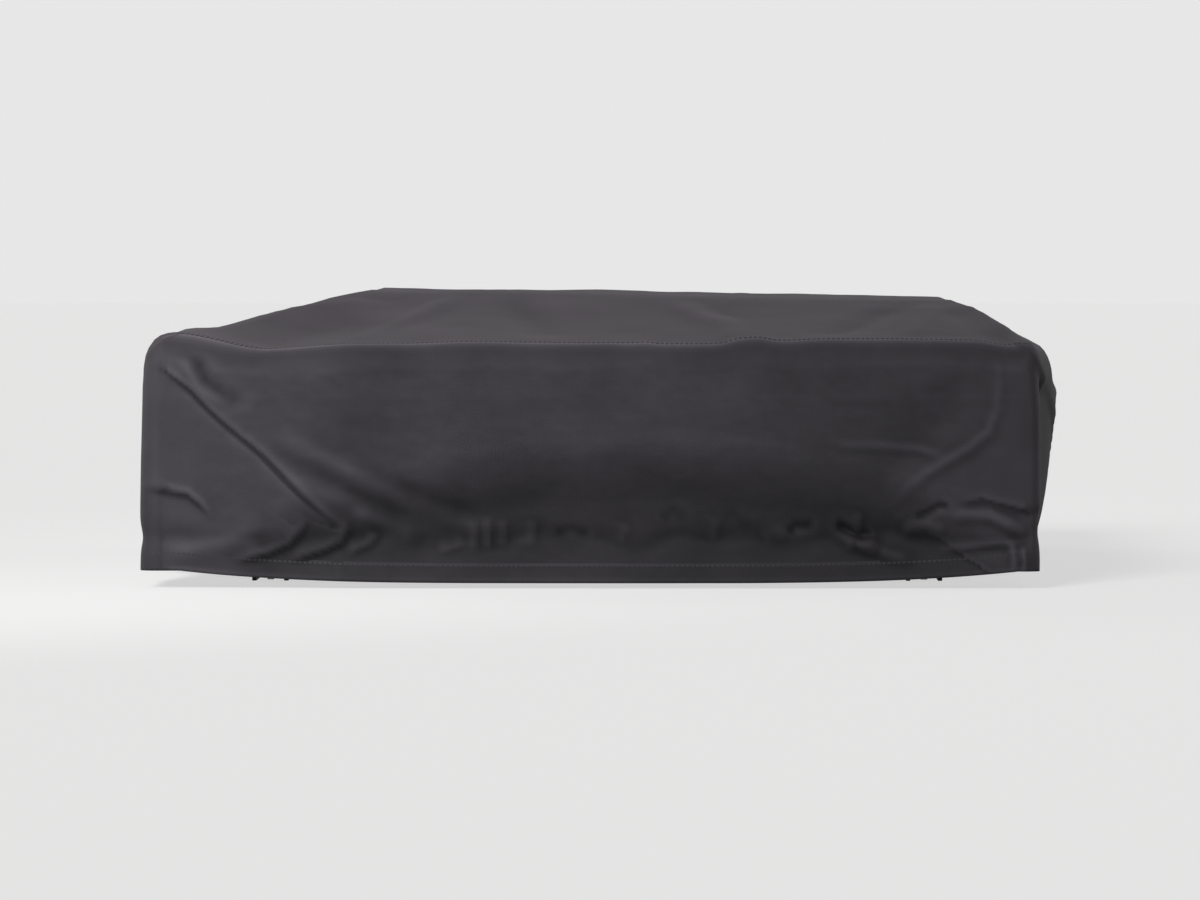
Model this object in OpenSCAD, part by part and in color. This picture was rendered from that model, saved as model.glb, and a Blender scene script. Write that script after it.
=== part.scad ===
// Soft-shell rooftop tent, folded flat under its cloth travel cover.
// X runs across the car, Y from its front to its rear, Z up. The clamp plates stand on Z = 0.
// The fixed half carries everything. The folding half turns over the hinge at -X.

/* [Cover] */
// Width of the cover across the car
cover_w = 1096; // [1096:1:1140]
// Length of the cover along the car
cover_l = 1244; // [1244:1:1300]
// Room between the folding half and the cover's upper edges
edge_room = 19; // [8:1:20]
// Room between the ladder and the raised middle of the cover
crown_room = 10; // [6:1:20]
// Thickness of the cover cloth with its coating and hems
cloth_t = 2.5; // [1.5:0.1:3]
// Height of the hem at the middle of the front and rear skirts
hem_low_z = 5; // [3:1:15]
// Height of the hem at the corners
hem_corner_z = 21; // [15:1:30]
// How far the main folds stand out
fold_out = 10; // [2:0.5:10]

/* [Base] */
// Width of one base half across the car
panel_w = 1022; // [1000:1:1022]
// Length of a base half along the car
panel_l = 1180; // [1160:1:1180]
// Thickness of a base half
panel_t = 22; // [20:1:24]
// Width of the frame extrusion round a base half
frame_w = 14; // [10:1:20]
// Clear height between the two halves when folded
stack_gap = 154; // [150:1:158]
// Thickness of one mattress half
mattress_t = 45; // [30:1:50]

/* [Rails and clamps] */
// Height of a mounting rail
rail_h = 28; // [26:1:32]
// Width of a mounting rail
rail_w = 50; // [44:1:60]
// Distance between the two rails
rail_spacing = 800; // [600:10:850]
// Distance between the two crossbars
bar_spacing = 700; // [500:10:760]
// Free height between a clamp pad and the rail
bar_gap = 26; // [22:1:32]
// Free width between the two bolts of a clamp
bar_width = 88; // [70:1:90]

/* [Hinge and hoops] */
// Diameter of a hoop tube
hoop_d = 16; // [12:1:16]
// Step from one hoop's legs to the next hoop's inside them
hoop_step = 23; // [23:1:26]
// Angle between one folded hoop and the next
hoop_rise = 1.5; // [1.4:0.1:1.6]
// Diameter of the hinge pins
hinge_pin_d = 10; // [8:1:12]

/* [Ladder] */
// Sections of the telescopic ladder
ladder_sections = 7; // [5:1:7]
// Distance between the ladder's two stiles
stile_spacing = 360; // [320:5:400]
// Length of one stile tube
stile_l = 330; // [300:5:340]
// Distance between steps when pushed together
step_pitch = 55; // [52:1:56]

/* [Hidden] */
$fn = 48;
fit = 0.06;              // radial room round a pin
slip = 0.05;             // radial room round a tube that is glued or crimped in

// Heights, from the ground up
plate_h = 22;
pad_t = 2;
rail_z = plate_h + pad_t + bar_gap;
panel_z = rail_z + rail_h;
panel_top = panel_z + panel_t;
fold_z = panel_top + stack_gap;
fold_top = fold_z + panel_t;
hinge_x = -panel_w / 2 - 3;
hinge_z = (panel_top + fold_z) / 2;
edge_z = fold_top + edge_room;

// Frame and panel core
core_w = panel_w - 2 * frame_w;
core_l = panel_l - 2 * frame_w;
rail_l = core_l - 52;
screw_d = 6;
screw_head_d = 12;
screw_head_h = 4;
rail_screws_n = 5;
rail_screw_step = (rail_l - 100) / (rail_screws_n - 1);
rail_screw_z = rail_z + rail_h - 12;

// T-slot of a mounting rail
slot_w = 10;
slot_lip = 4;
slot_in_w = 26;
slot_in_h = 12;

// Clamps
bolt_d = 8;
bolt_y = bar_width / 2 + bolt_d / 2;
bolt_low_z = 1;
bolt_head = [22, 20, 6];
plate_w = 44;
plate_l = 2 * bolt_y + 28;
plate_web = 6;
plate_flange = 5;
nut_w = 13;
nut_h = 6;

// Hinge brackets: two cheeks on a foot, one bracket in the other
bracket_l = 70;
bracket_t = 4;
foot_t = 3;
boss_r = 16;
fixed_cheek_in = 494;
fixed_cheek_out = panel_l / 2;
folding_cheek_in = fixed_cheek_in - bracket_t - 2;
folding_cheek_out = fixed_cheek_out + bracket_t + 1;
pin_in = folding_cheek_in - 2;
pin_out = folding_cheek_out + bracket_t + 0.5;
pin_head_t = 4;

// Folded hoops lie one above the other, and their legs one inside the other
hoop_names = ["low", "middle", "high"];
hoop_leg_y = panel_l / 2 - 32;
hoop_cross_x = panel_w / 2 - 45;
eye_r = 11;
eye_l = 14;
elbow_r = 40;
elbow_wall = 2.5;
elbow_sleeve = 30;

// Canopy cloth, folded as a wall round three sides of the stack
canopy_out_y = panel_l / 2 - 7;
canopy_out_x = panel_w / 2 - 17;
canopy_t = 12;

// Straps and buckles on the free edge
strap_y = 300;
strap_w = 25;
strap_t = 1.6;
buckle_w = 36;
buckle_t = 12;
socket_z = 140;
socket_h = 42;
tongue_l = 26;

// Ladder on the folding half
ladder_x = panel_w / 2 - 71;
ladder_z = fold_top + 33;
stile_y = stile_spacing / 2;
stile_r_min = 14;
stile_wall = 1.4;
stile_r_step = 1.8;
first_step = 40;
step_size = [48, 60, 62];
rung_size = [44, 30];
tube_lead = 8;
eye_width = 26;
ladder_pin_d = 8;
crown_z = ladder_z + step_size[2] / 2 + crown_room;

// Colours
cloth_grey = "#3a383b";
canopy_grey = "#8d8f86";
mattress_grey = "#54565a";
alloy = "#b9bcbf";
black_alloy = "#2b2c2e";
black_plastic = "#1d1d1f";
zinc = "#c8c9c4";
board = "#33353a";
webbing = "#202022";

function step_x(k) = ladder_x - first_step - (k - 1) * step_pitch;
function stile_r(k) = stile_r_min + (k - 1) * stile_r_step;
function stile_end(k) = step_x(k) + tube_lead - stile_l;

// A box between two corners
module box(low, high) {
    translate(low) cube(high - low);
}

// A cylinder along X or along Y, from a start over a length
module along_x(r, l) {
    rotate([0, 90, 0]) cylinder(r = r, h = l);
}

module along_y(r, l) {
    rotate([-90, 0, 0]) cylinder(r = r, h = l);
}

// The same shape at the front and at the rear
module both_ends() {
    children();
    mirror([0, 1, 0]) children();
}

// Base halves

module frame_bars(z) {
    for (side = [-1, 1]) {
        translate([side * (panel_w - frame_w) / 2, 0, z + panel_t / 2])
            cube([frame_w, core_l, panel_t], center = true);
        translate([0, side * (panel_l - frame_w) / 2, z + panel_t / 2])
            cube([core_w, frame_w, panel_t], center = true);
    }
}

module frame_corner_blocks(z) {
    for (x = [-1, 1], y = [-1, 1])
        translate([x * (panel_w - frame_w) / 2, y * (panel_l - frame_w) / 2, z + panel_t / 2])
            cube([frame_w, frame_w, panel_t], center = true);
}

module rail_screw_places() {
    for (side = [-1, 1], i = [0:rail_screws_n - 1])
        translate([side * rail_spacing / 2, (i - (rail_screws_n - 1) / 2) * rail_screw_step, 0]) children();
}

module bracket_screw_places() {
    for (y = [-1, 1], i = [-1, 1])
        translate([hinge_x + 3 + bracket_l / 2 + i * bracket_l / 4, y * (panel_l / 2 - 48), 0]) children();
}

module screw_hole(z_low, z_high) {
    translate([0, 0, z_low]) cylinder(d = screw_d + 2 * fit, h = z_high - z_low);
}

module fixed_panel() {
    color(board) difference() {
        translate([0, 0, panel_z + panel_t / 2]) cube([core_w, core_l, panel_t], center = true);
        rail_screw_places() {
            screw_hole(panel_z - 1, panel_top + 1);
            translate([0, 0, panel_top - screw_head_h])
                cylinder(d = screw_head_d + 0.4, h = screw_head_h + 1);
        }
        bracket_screw_places() screw_hole(panel_top - 12, panel_top + 1);
    }
}

module fixed_frame() {
    color(black_alloy) frame_bars(panel_z);
}

module fixed_frame_corners() {
    color(black_plastic) frame_corner_blocks(panel_z);
}

module folding_panel() {
    color(board) difference() {
        translate([0, 0, fold_z + panel_t / 2]) cube([core_w, core_l, panel_t], center = true);
        bracket_screw_places() screw_hole(fold_z - 1, fold_z + 12);
    }
}

module folding_frame() {
    color(black_alloy) frame_bars(fold_z);
}

module folding_frame_corners() {
    color(black_plastic) frame_corner_blocks(fold_z);
}

// Mattress halves, with round corners in plan

module mattress(z) {
    corner = 40;
    x_low = hinge_x + 24;
    x_high = hoop_cross_x - 28;
    y_high = folding_cheek_in - 6;
    color(mattress_grey) translate([0, 0, z]) linear_extrude(mattress_t) hull()
        for (x = [x_low + corner, x_high - corner], y = [corner - y_high, y_high - corner])
            translate([x, y]) circle(corner, $fn = 32);
}

module fixed_mattress() {
    mattress(panel_top + 0.5);
}

module folding_mattress() {
    mattress(fold_z - 0.5 - mattress_t);
}

// Mounting rails, with a T-slot that opens downwards

module rail_section() {
    difference() {
        translate([-rail_w / 2, 0]) square([rail_w, rail_h]);
        translate([-slot_w / 2, -1]) square([slot_w, slot_lip + 2]);
        translate([-slot_in_w / 2, slot_lip]) square([slot_in_w, slot_in_h]);
    }
}

module mounting_rails() {
    color(black_alloy) difference() {
        for (side = [-1, 1])
            translate([side * rail_spacing / 2, rail_l / 2, rail_z]) rotate([90, 0, 0])
                linear_extrude(rail_l) rail_section();
        rail_screw_places() screw_hole(rail_screw_z, panel_z + 1);
    }
}

module rail_end_caps() {
    cap_t = 4;
    color(black_plastic) both_ends() for (side = [-1, 1])
        translate([side * rail_spacing / 2, rail_l / 2 + cap_t / 2, rail_z + rail_h / 2])
            cube([rail_w, cap_t, rail_h], center = true);
}

module rail_screws() {
    color(zinc) rail_screw_places() {
        translate([0, 0, rail_screw_z]) cylinder(d = screw_d, h = panel_top - screw_head_h - rail_screw_z);
        translate([0, 0, panel_top - screw_head_h]) cylinder(d = screw_head_d, h = screw_head_h);
    }
}

// Hinge brackets: each cheek is a plate that narrows from its foot to the hinge boss

module cheek(foot_from, foot_to) {
    linear_extrude(bracket_t) {
        translate([hinge_x, hinge_z]) circle(boss_r);
        polygon([[hinge_x - 8, hinge_z], [hinge_x + 8, hinge_z],
                 [hinge_x + 3 + bracket_l, foot_from], [hinge_x + 3 + bracket_l, foot_to],
                 [hinge_x + 3, foot_to], [hinge_x + 3, foot_from]]);
    }
}

module bracket(foot_z, foot_end, y_in, y_out) {
    difference() {
        union() {
            for (y = [y_in, y_out])
                translate([0, y + bracket_t, 0]) rotate([90, 0, 0]) cheek(foot_end, foot_z);
            box([hinge_x + 3, y_in, min(foot_z, foot_end)],
                [hinge_x + 3 + bracket_l, y_out + bracket_t, max(foot_z, foot_end)]);
        }
        translate([hinge_x, y_in - 1, hinge_z])
            along_y(hinge_pin_d / 2 + fit, y_out - y_in + bracket_t + 2);
        bracket_screw_places() screw_hole(min(foot_z, foot_end) - 1, max(foot_z, foot_end) + 1);
    }
}

module fixed_hinge_brackets() {
    color(black_alloy) both_ends() bracket(panel_top, panel_top + foot_t, fixed_cheek_in, fixed_cheek_out);
}

module folding_hinge_brackets() {
    color(black_alloy) both_ends() bracket(fold_z, fold_z - foot_t, folding_cheek_in, folding_cheek_out);
}

module bracket_screws(z, way) {
    color(zinc) bracket_screw_places() translate([0, 0, z]) mirror([0, 0, way]) {
        translate([0, 0, -10 - foot_t]) cylinder(d = screw_d, h = 10 + foot_t);
        cylinder(d = screw_head_d, h = screw_head_h - 1);
    }
}

module fixed_bracket_screws() {
    bracket_screws(panel_top + foot_t, 0);
}

module folding_bracket_screws() {
    bracket_screws(fold_z - foot_t, 1);
}

module hinge_pins() {
    color(zinc) both_ends() {
        translate([hinge_x, pin_in, hinge_z]) along_y(hinge_pin_d / 2, pin_out - pin_in);
        translate([hinge_x, pin_out, hinge_z]) along_y(hinge_pin_d * 0.9, pin_head_t);
    }
}

module hinge_pin_clips() {
    clip_t = 3;
    color(zinc) both_ends() difference() {
        translate([hinge_x, pin_in - 0.5 - clip_t + 2, hinge_z]) along_y(hinge_pin_d * 0.85, clip_t - 1);
        translate([hinge_x, pin_in - clip_t - 2, hinge_z]) along_y(hinge_pin_d / 2 + slip, clip_t + 8);
    }
}

// Hoops: two legs with eyes on the hinge pins, a cross tube and two elbows

module hoop_place(i) {
    translate([hinge_x, 0, hinge_z]) rotate([0, (1 - i) * hoop_rise, 0]) translate([-hinge_x, 0, -hinge_z])
        children();
}

module hoop_tubes(i) {
    leg_y = hoop_leg_y - i * hoop_step;
    leg_end = hoop_cross_x - elbow_r - 2;
    color(alloy) hoop_place(i) {
        both_ends() difference() {
            union() {
                translate([hinge_x, leg_y, hinge_z]) along_x(hoop_d / 2, leg_end - hinge_x);
                translate([hinge_x, leg_y - eye_l / 2, hinge_z]) along_y(eye_r, eye_l);
            }
            translate([hinge_x, leg_y - hoop_d, hinge_z]) along_y(hinge_pin_d / 2 + fit, 2 * hoop_d);
        }
        cross_l = 2 * (leg_y - elbow_r - 2);
        translate([hoop_cross_x, -cross_l / 2, hinge_z]) along_y(hoop_d / 2, cross_l);
    }
}

module hoop_elbows(i) {
    bend = [hoop_cross_x - elbow_r, hoop_leg_y - i * hoop_step - elbow_r, hinge_z];
    outer = hoop_d / 2 + elbow_wall;
    color(black_plastic) hoop_place(i) both_ends() translate(bend) difference() {
        union() {
            rotate_extrude(angle = 90) translate([elbow_r, 0]) circle(outer);
            translate([-elbow_sleeve, elbow_r, 0]) along_x(outer, elbow_sleeve);
            translate([elbow_r, -elbow_sleeve, 0]) along_y(outer, elbow_sleeve);
        }
        translate([-elbow_sleeve - 1, elbow_r, 0]) along_x(hoop_d / 2 + slip, elbow_sleeve);
        translate([elbow_r, -elbow_sleeve - 1, 0]) along_y(hoop_d / 2 + slip, elbow_sleeve);
    }
}

// Canopy cloth between the halves

module canopy() {
    x_low = hinge_x + 14;
    color(canopy_grey) translate([0, 0, panel_top + foot_t + 1])
        linear_extrude(stack_gap - 2 * foot_t - 2) difference() {
            translate([x_low, -canopy_out_y]) square([canopy_out_x - x_low, 2 * canopy_out_y]);
            translate([x_low - 1, canopy_t - canopy_out_y])
                square([canopy_out_x - canopy_t - x_low + 1, 2 * (canopy_out_y - canopy_t)]);
        }
}

// Straps that hold the folded halves together

module strap_places() {
    for (y = [-strap_y, strap_y]) translate([panel_w / 2, y, 0]) children();
}

module lower_straps() {
    color(webbing) strap_places()
        box([0, -strap_w / 2, panel_z + 2], [strap_t, strap_w / 2, socket_z]);
}

module buckle_sockets() {
    wall = 2;
    color(black_plastic) strap_places() difference() {
        box([0.5, -buckle_w / 2, socket_z], [0.5 + buckle_t, buckle_w / 2, socket_z + socket_h]);
        box([0.5 + wall, -buckle_w / 2 + 5, socket_z + socket_h - tongue_l - 1],
            [0.5 + buckle_t - wall, buckle_w / 2 - 5, socket_z + socket_h + 1]);
    }
}

module buckle_tongues() {
    room = 0.6;
    wall = 2 + room;
    foot = socket_z + socket_h + 1;
    color(black_plastic) strap_places() {
        box([0.5 + wall, -buckle_w / 2 + 5 + room, foot - tongue_l],
            [0.5 + buckle_t - wall, buckle_w / 2 - 5 - room, foot]);
        box([0.5, -buckle_w / 2, foot], [0.5 + buckle_t, buckle_w / 2, foot + 17]);
    }
}

module upper_straps() {
    color(webbing) strap_places()
        box([0, -strap_w / 2, socket_z + socket_h + 18], [strap_t, strap_w / 2, fold_top - 3]);
}

// Telescopic ladder: section 1 turns on the folding half, section by section it gets wider

module stile_places() {
    for (y = [-stile_y, stile_y]) translate([0, y, ladder_z]) children();
}

module ladder_stiles(k) {
    start = k == 1 ? ladder_x : step_x(k) + tube_lead;
    color(alloy) stile_places() difference() {
        union() {
            translate([stile_end(k), 0, 0]) along_x(stile_r(k), start - stile_end(k));
            if (k == 1) translate([ladder_x, -eye_width / 2, 0]) along_y(stile_r_min + 1, eye_width);
        }
        translate([stile_end(k) - 1, 0, 0])
            along_x(stile_r(k) - stile_wall, (k == 1 ? step_x(1) : start + 2) - stile_end(k));
        if (k == 1) translate([ladder_x, -eye_width, 0]) along_y(ladder_pin_d / 2 + fit, 2 * eye_width);
    }
}

module ladder_step(k) {
    color(black_plastic) difference() {
        union() {
            stile_places() translate([step_x(k), 0, 0]) cube(step_size, center = true);
            translate([step_x(k), 0, ladder_z])
                cube([rung_size[0], stile_spacing - step_size[1] + 2, rung_size[1]], center = true);
        }
        stile_places() translate([step_x(k) - step_size[0], 0, 0])
            along_x(stile_r(k) + slip, 2 * step_size[0]);
    }
}

module ladder_feet() {
    foot_r = stile_r(ladder_sections) + 3;
    foot_l = 34;
    color(black_plastic) stile_places() translate([stile_end(ladder_sections) - 14, 0, 0]) difference() {
        along_x(foot_r, foot_l);
        translate([14, 0, 0]) along_x(foot_r - 3 + slip, foot_l);
        translate([-1, 0, 0]) along_x(foot_r - 9, foot_l);
    }
}

module ladder_brackets() {
    cheek_t = 4;
    gap = eye_width + 2;
    foot_half = 13;
    foot_out = 14;
    color(black_alloy) stile_places() difference() {
        union() {
            for (y = [-gap / 2 - cheek_t, gap / 2]) {
                translate([ladder_x, y, 0]) along_y(stile_r_min, cheek_t);
                box([ladder_x - stile_r_min, y, fold_top - ladder_z],
                    [ladder_x + stile_r_min, y + cheek_t, 0]);
            }
            // the foot reaches out sideways, clear of the first step at both ends of the swing
            box([ladder_x - foot_half, -gap / 2 - cheek_t - foot_out, fold_top - ladder_z],
                [ladder_x + foot_half, gap / 2 + cheek_t + foot_out, fold_top - ladder_z + 3]);
        }
        translate([ladder_x, -gap, 0]) along_y(ladder_pin_d / 2 + fit, 2 * gap);
    }
}

module ladder_pivot_pins() {
    pin_l = eye_width + 18;
    color(zinc) stile_places() translate([ladder_x, -pin_l / 2, 0]) along_y(ladder_pin_d / 2, pin_l);
}

module ladder_rests() {
    color(black_plastic) stile_places()
        box([stile_end(ladder_sections) + 40, -20, fold_top - ladder_z],
            [stile_end(ladder_sections) + 80, 20, -stile_r(ladder_sections) - 0.5]);
}

// Crossbar clamps: two T-bolts, a plate under the bar, a rubber pad and nuts

module clamp_places(end) {
    for (side = [-1, 1]) translate([side * rail_spacing / 2, end * bar_spacing / 2, 0]) children();
}

module bolt_places(end) {
    clamp_places(end) for (y = [-bolt_y, bolt_y]) translate([0, y, 0]) children();
}

module clamp_bolts(end) {
    head_z = rail_z + slot_lip + 0.4;
    color(zinc) bolt_places(end) {
        translate([0, 0, bolt_low_z]) cylinder(d = bolt_d, h = head_z + 1 - bolt_low_z);
        translate([0, 0, head_z + bolt_head[2] / 2]) cube(bolt_head, center = true);
    }
}

module clamp_plates(end) {
    color(black_alloy) difference() {
        clamp_places(end) difference() {
            translate([0, 0, plate_h / 2]) cube([plate_w, plate_l, plate_h], center = true);
            translate([0, 0, (plate_h - plate_web) / 2 - 1])
                cube([plate_w - 2 * plate_flange, plate_l + 2, plate_h - plate_web + 2], center = true);
        }
        bolt_places(end) cylinder(d = bolt_d + 1, h = plate_h + 1);
    }
}

module clamp_pads(end) {
    color(black_plastic) clamp_places(end)
        translate([0, 0, plate_h + pad_t / 2]) cube([plate_w, bar_width - 4, pad_t], center = true);
}

module clamp_nuts(end) {
    nut_z = plate_h - plate_web - nut_h;
    color(zinc) bolt_places(end) translate([0, 0, nut_z]) difference() {
        cylinder(d = nut_w / cos(30), h = nut_h, $fn = 6);
        translate([0, 0, -1]) cylinder(d = bolt_d + 2 * fit, h = nut_h + 2);
    }
}

// Travel cover: rings of points from the crown down to the hem

corner_r = 34;
edge_r = 26;
side_steps = 15;
end_steps = 17;
arc_steps = 3;
crown_box = [-283, 440, -235, 235];
arch_z = 56;             // hem height where a crossbar passes under a side skirt
arch_w = 90;
skirt_rows = 7;
ripple_l = 180;

// Plan of the cover: [x, y, normal angle, place along its side, half length of its side]
function side_run(n, half, turn) = [for (i = [0:n - 1]) [turn, (2 * i / n - 1) * half, half, 0]];
function corner_run(half, turn) = [for (i = [0:arc_steps - 1]) [turn, half, half, 90 * i / arc_steps]];
half_x = cover_w / 2 - corner_r;
half_y = cover_l / 2 - corner_r;
plan = concat(side_run(side_steps, half_x, 0), corner_run(half_x, 0),
              side_run(end_steps, half_y, 1), corner_run(half_y, 1),
              side_run(side_steps, half_x, 2), corner_run(half_x, 2),
              side_run(end_steps, half_y, 3), corner_run(half_y, 3));
around = len(plan);

// Side 0 is the front, 1 the +X side, 2 the rear and 3 the -X side
function across(p) = p[0] % 2 == 0 ? half_y : half_x;
function way(p) = 90 * p[0] - 90 + p[3];
function plan_point(p, out) =
    let (r = corner_r + out, a = 90 * p[0],
         q = [p[1] + r * sin(p[3]), -across(p) - r * cos(p[3])])
    [q[0] * cos(a) - q[1] * sin(a), q[0] * sin(a) + q[1] * cos(a)];

// The crown follows the same plan at the size of the box over the ladder
function crown_point(p) =
    let (q = plan_point(p, -corner_r), u = q[0] / half_x, v = q[1] / half_y)
    [(crown_box[0] + crown_box[1]) / 2 + u * (crown_box[1] - crown_box[0]) / 2,
     (crown_box[2] + crown_box[3]) / 2 + v * (crown_box[3] - crown_box[2]) / 2];

// Hem height: low in the middle of the ends, arched over the crossbars at the sides
function bump(x, width) = exp(-pow(x / width, 2));
function arch(y) = exp(-pow(y / arch_w, 4));
function hem_z(p) = p[0] % 2 == 0
    ? hem_corner_z + (hem_low_z - hem_corner_z) * (1 - pow(p[1] / half_x, 4))
    : hem_corner_z + (arch_z - hem_corner_z)
        * (arch(p[1] - bar_spacing / 2) + arch(p[1] + bar_spacing / 2));

// Folds: one that runs down and inwards from each upper corner, and ripples that grow towards the hem
function fold_at(p, drop) =
    let (from_corner = p[2] - abs(p[1]), line = 20 + 300 * drop)
    fold_out * (0.8 * bump(from_corner - line, 42) * sin(180 * drop)
                + 0.2 * pow(drop, 2) * (1 + sin(360 * p[1] / ripple_l)) * bump(p[3], 20));

function skirt_ring(row, rows, skin) = [for (p = plan)
    let (top = edge_z - edge_r, drop = row / rows, z = top + (hem_z(p) - top) * drop,
         q = plan_point(p, (skin > 0 ? 0 : fold_at(p, drop)) - fold_out - skin))
    [q[0], q[1], z]];

function edge_ring(turn, skin) = [for (p = plan)
    let (q = plan_point(p, (edge_r - skin) * sin(turn) - edge_r - fold_out))
    [q[0], q[1], edge_z - edge_r + (edge_r - skin) * cos(turn)]];

function crown_ring(share, skin) = [for (i = [0:around - 1])
    let (e = edge_ring(0, skin)[i], c = crown_point(plan[i]), top = [c[0], c[1], crown_z - skin])
    top + (e - top) * share];

// Bands of triangles between rings, and a fan over the innermost ring
function band(a, b) = [for (i = [0:around - 1]) let (j = (i + 1) % around)
    each [[a + i, a + j, b + i], [a + j, b + j, b + i]]];
function turned(faces) = [for (f = faces) [f[0], f[2], f[1]]];
function fan(a, centre) = [for (i = [0:around - 1]) [centre, a + (i + 1) % around, a + i]];

outer_rings = concat([for (s = [0, 0.5]) crown_ring(s, 0)],
                     [for (t = [0, 45]) edge_ring(t, 0)],
                     [for (r = [0:skirt_rows]) skirt_ring(r, skirt_rows, 0)]);
inner_rings = concat([crown_ring(0, cloth_t), edge_ring(0, cloth_t)],
                     [for (r = [0, skirt_rows]) skirt_ring(r, skirt_rows, cloth_t)]);

module travel_cover() {
    rings = concat(outer_rings, inner_rings);
    n_out = len(outer_rings);
    n_all = len(rings);
    crown = [(crown_box[0] + crown_box[1]) / 2, (crown_box[2] + crown_box[3]) / 2, crown_z];
    points = concat([for (r = rings) each r], [crown, crown - [0, 0, cloth_t]]);
    faces = concat(
        turned(fan(0, n_all * around)),
        [for (r = [0:n_out - 2]) each turned(band(r * around, (r + 1) * around))],
        turned(band((n_out - 1) * around, (n_all - 1) * around)),
        fan(n_out * around, n_all * around + 1),
        [for (r = [n_out:n_all - 2]) each band(r * around, (r + 1) * around)]);
    color(cloth_grey) polyhedron(points, faces);
}

// Webbing tabs that hold the cover to the base frame. Those at +X are its hinge.

module cover_tabs() {
    tab_w = 25;
    tab_t = 2;
    tab_z = panel_z + panel_t * 0.6;
    reach_x = cover_w / 2 - fold_out - cloth_t - 2;
    reach_y = cover_l / 2 - fold_out - cloth_t - 2;
    color(webbing) {
        for (y = [-400, 0, 400])
            translate([(panel_w / 2 + 0.4 + reach_x) / 2, y, tab_z])
                cube([reach_x - panel_w / 2 - 0.4, tab_w, tab_t], center = true);
        for (x = [-240, 20, 280], side = [-1, 1])
            translate([x, side * (panel_l / 2 + 0.4 + reach_y) / 2, tab_z])
                cube([tab_w, reach_y - panel_l / 2 - 0.4, tab_t], center = true);
    }
}

fixed_panel();
fixed_frame();
fixed_frame_corners();
mounting_rails();
rail_end_caps();
rail_screws();
fixed_hinge_brackets();
fixed_bracket_screws();
hinge_pins();
hinge_pin_clips();
fixed_mattress();
canopy();
lower_straps();
buckle_sockets();
folding_panel();
folding_frame();
folding_frame_corners();
folding_hinge_brackets();
folding_bracket_screws();
folding_mattress();
upper_straps();
buckle_tongues();
ladder_brackets();
ladder_pivot_pins();
ladder_rests();
for (i = [0:2]) {
    hoop_tubes(i);
    hoop_elbows(i);
}
for (k = [1:ladder_sections]) {
    ladder_stiles(k);
    ladder_step(k);
}
ladder_feet();
for (end = [-1, 1]) {
    place = end < 0 ? "front" : "rear";
    clamp_bolts(end);
    clamp_plates(end);
    clamp_pads(end);
    clamp_nuts(end);
}
travel_cover();
cover_tabs();
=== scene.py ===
import math
import bpy
import numpy as np
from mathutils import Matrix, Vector, noise


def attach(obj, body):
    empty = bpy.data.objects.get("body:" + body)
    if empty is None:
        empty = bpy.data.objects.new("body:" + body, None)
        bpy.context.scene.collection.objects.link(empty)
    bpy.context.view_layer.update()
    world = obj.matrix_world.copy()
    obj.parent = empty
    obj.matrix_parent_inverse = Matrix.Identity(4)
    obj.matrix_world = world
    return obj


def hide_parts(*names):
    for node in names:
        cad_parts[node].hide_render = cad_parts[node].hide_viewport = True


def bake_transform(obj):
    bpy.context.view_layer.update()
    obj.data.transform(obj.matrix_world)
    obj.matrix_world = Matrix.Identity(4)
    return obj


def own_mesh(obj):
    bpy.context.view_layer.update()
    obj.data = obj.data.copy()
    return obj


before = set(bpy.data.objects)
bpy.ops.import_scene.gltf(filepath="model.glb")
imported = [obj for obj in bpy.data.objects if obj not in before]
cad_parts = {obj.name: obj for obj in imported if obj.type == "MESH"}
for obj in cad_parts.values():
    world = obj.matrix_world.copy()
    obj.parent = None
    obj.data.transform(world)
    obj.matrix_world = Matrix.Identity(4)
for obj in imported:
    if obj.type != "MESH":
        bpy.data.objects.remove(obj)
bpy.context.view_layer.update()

noise.seed_set(5)   # the same folds in every run
print("stage: frame loaded", len(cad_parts), "nodes")


# Small helpers

def hexLinear(code):
    parts = [int(code[i:i + 2], 16) / 255 for i in (1, 3, 5)]
    return [p / 12.92 if p <= 0.04045 else ((p + 0.055) / 1.055) ** 2.4 for p in parts] + [1.0]


def wire(tree, node, links):
    for name, socket in dict(links).items():
        tree.links.new(socket, node.inputs[name])


def addNode(tree, kind, settings=(), links=()):
    node = tree.nodes.new(kind)
    for name, value in dict(settings).items():
        if name == "stops":                        # of a colour ramp
            for stop, (position, code) in zip(node.color_ramp.elements, value):
                stop.position = position
                stop.color = hexLinear(code)
        elif isinstance(name, str) and hasattr(node, name):
            setattr(node, name, value)
        else:
            node.inputs[name].default_value = value
    wire(tree, node, links)
    return node


def newMaterial(name, settings):
    material = bpy.data.materials.new(name)
    material.use_nodes = True
    tree = material.node_tree
    shader = tree.nodes["Principled BSDF"]
    for socket, value in settings.items():
        shader.inputs[socket].default_value = value
    return material, tree, shader


def deselectAll():
    if bpy.context.mode != "OBJECT":
        bpy.ops.object.mode_set(mode="OBJECT")
    bpy.ops.object.select_all(action="DESELECT")


def pick(piece):
    deselectAll()
    piece.select_set(True)
    bpy.context.view_layer.objects.active = piece


def editAll(piece, operator, **settings):
    pick(piece)
    bpy.ops.object.mode_set(mode="EDIT")
    bpy.ops.mesh.select_all(action="SELECT")
    operator(**settings)
    bpy.ops.object.mode_set(mode="OBJECT")


def applyModifier(piece, kind, **settings):
    pick(piece)
    modifier = piece.modifiers.new(kind.lower(), kind)
    for name, value in settings.items():
        setattr(modifier, name, value)
    bpy.ops.object.modifier_apply(modifier=modifier.name)


def smooth(piece, degrees=35):
    pick(piece)
    bpy.ops.object.shade_smooth_by_angle(angle=math.radians(degrees))


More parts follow.
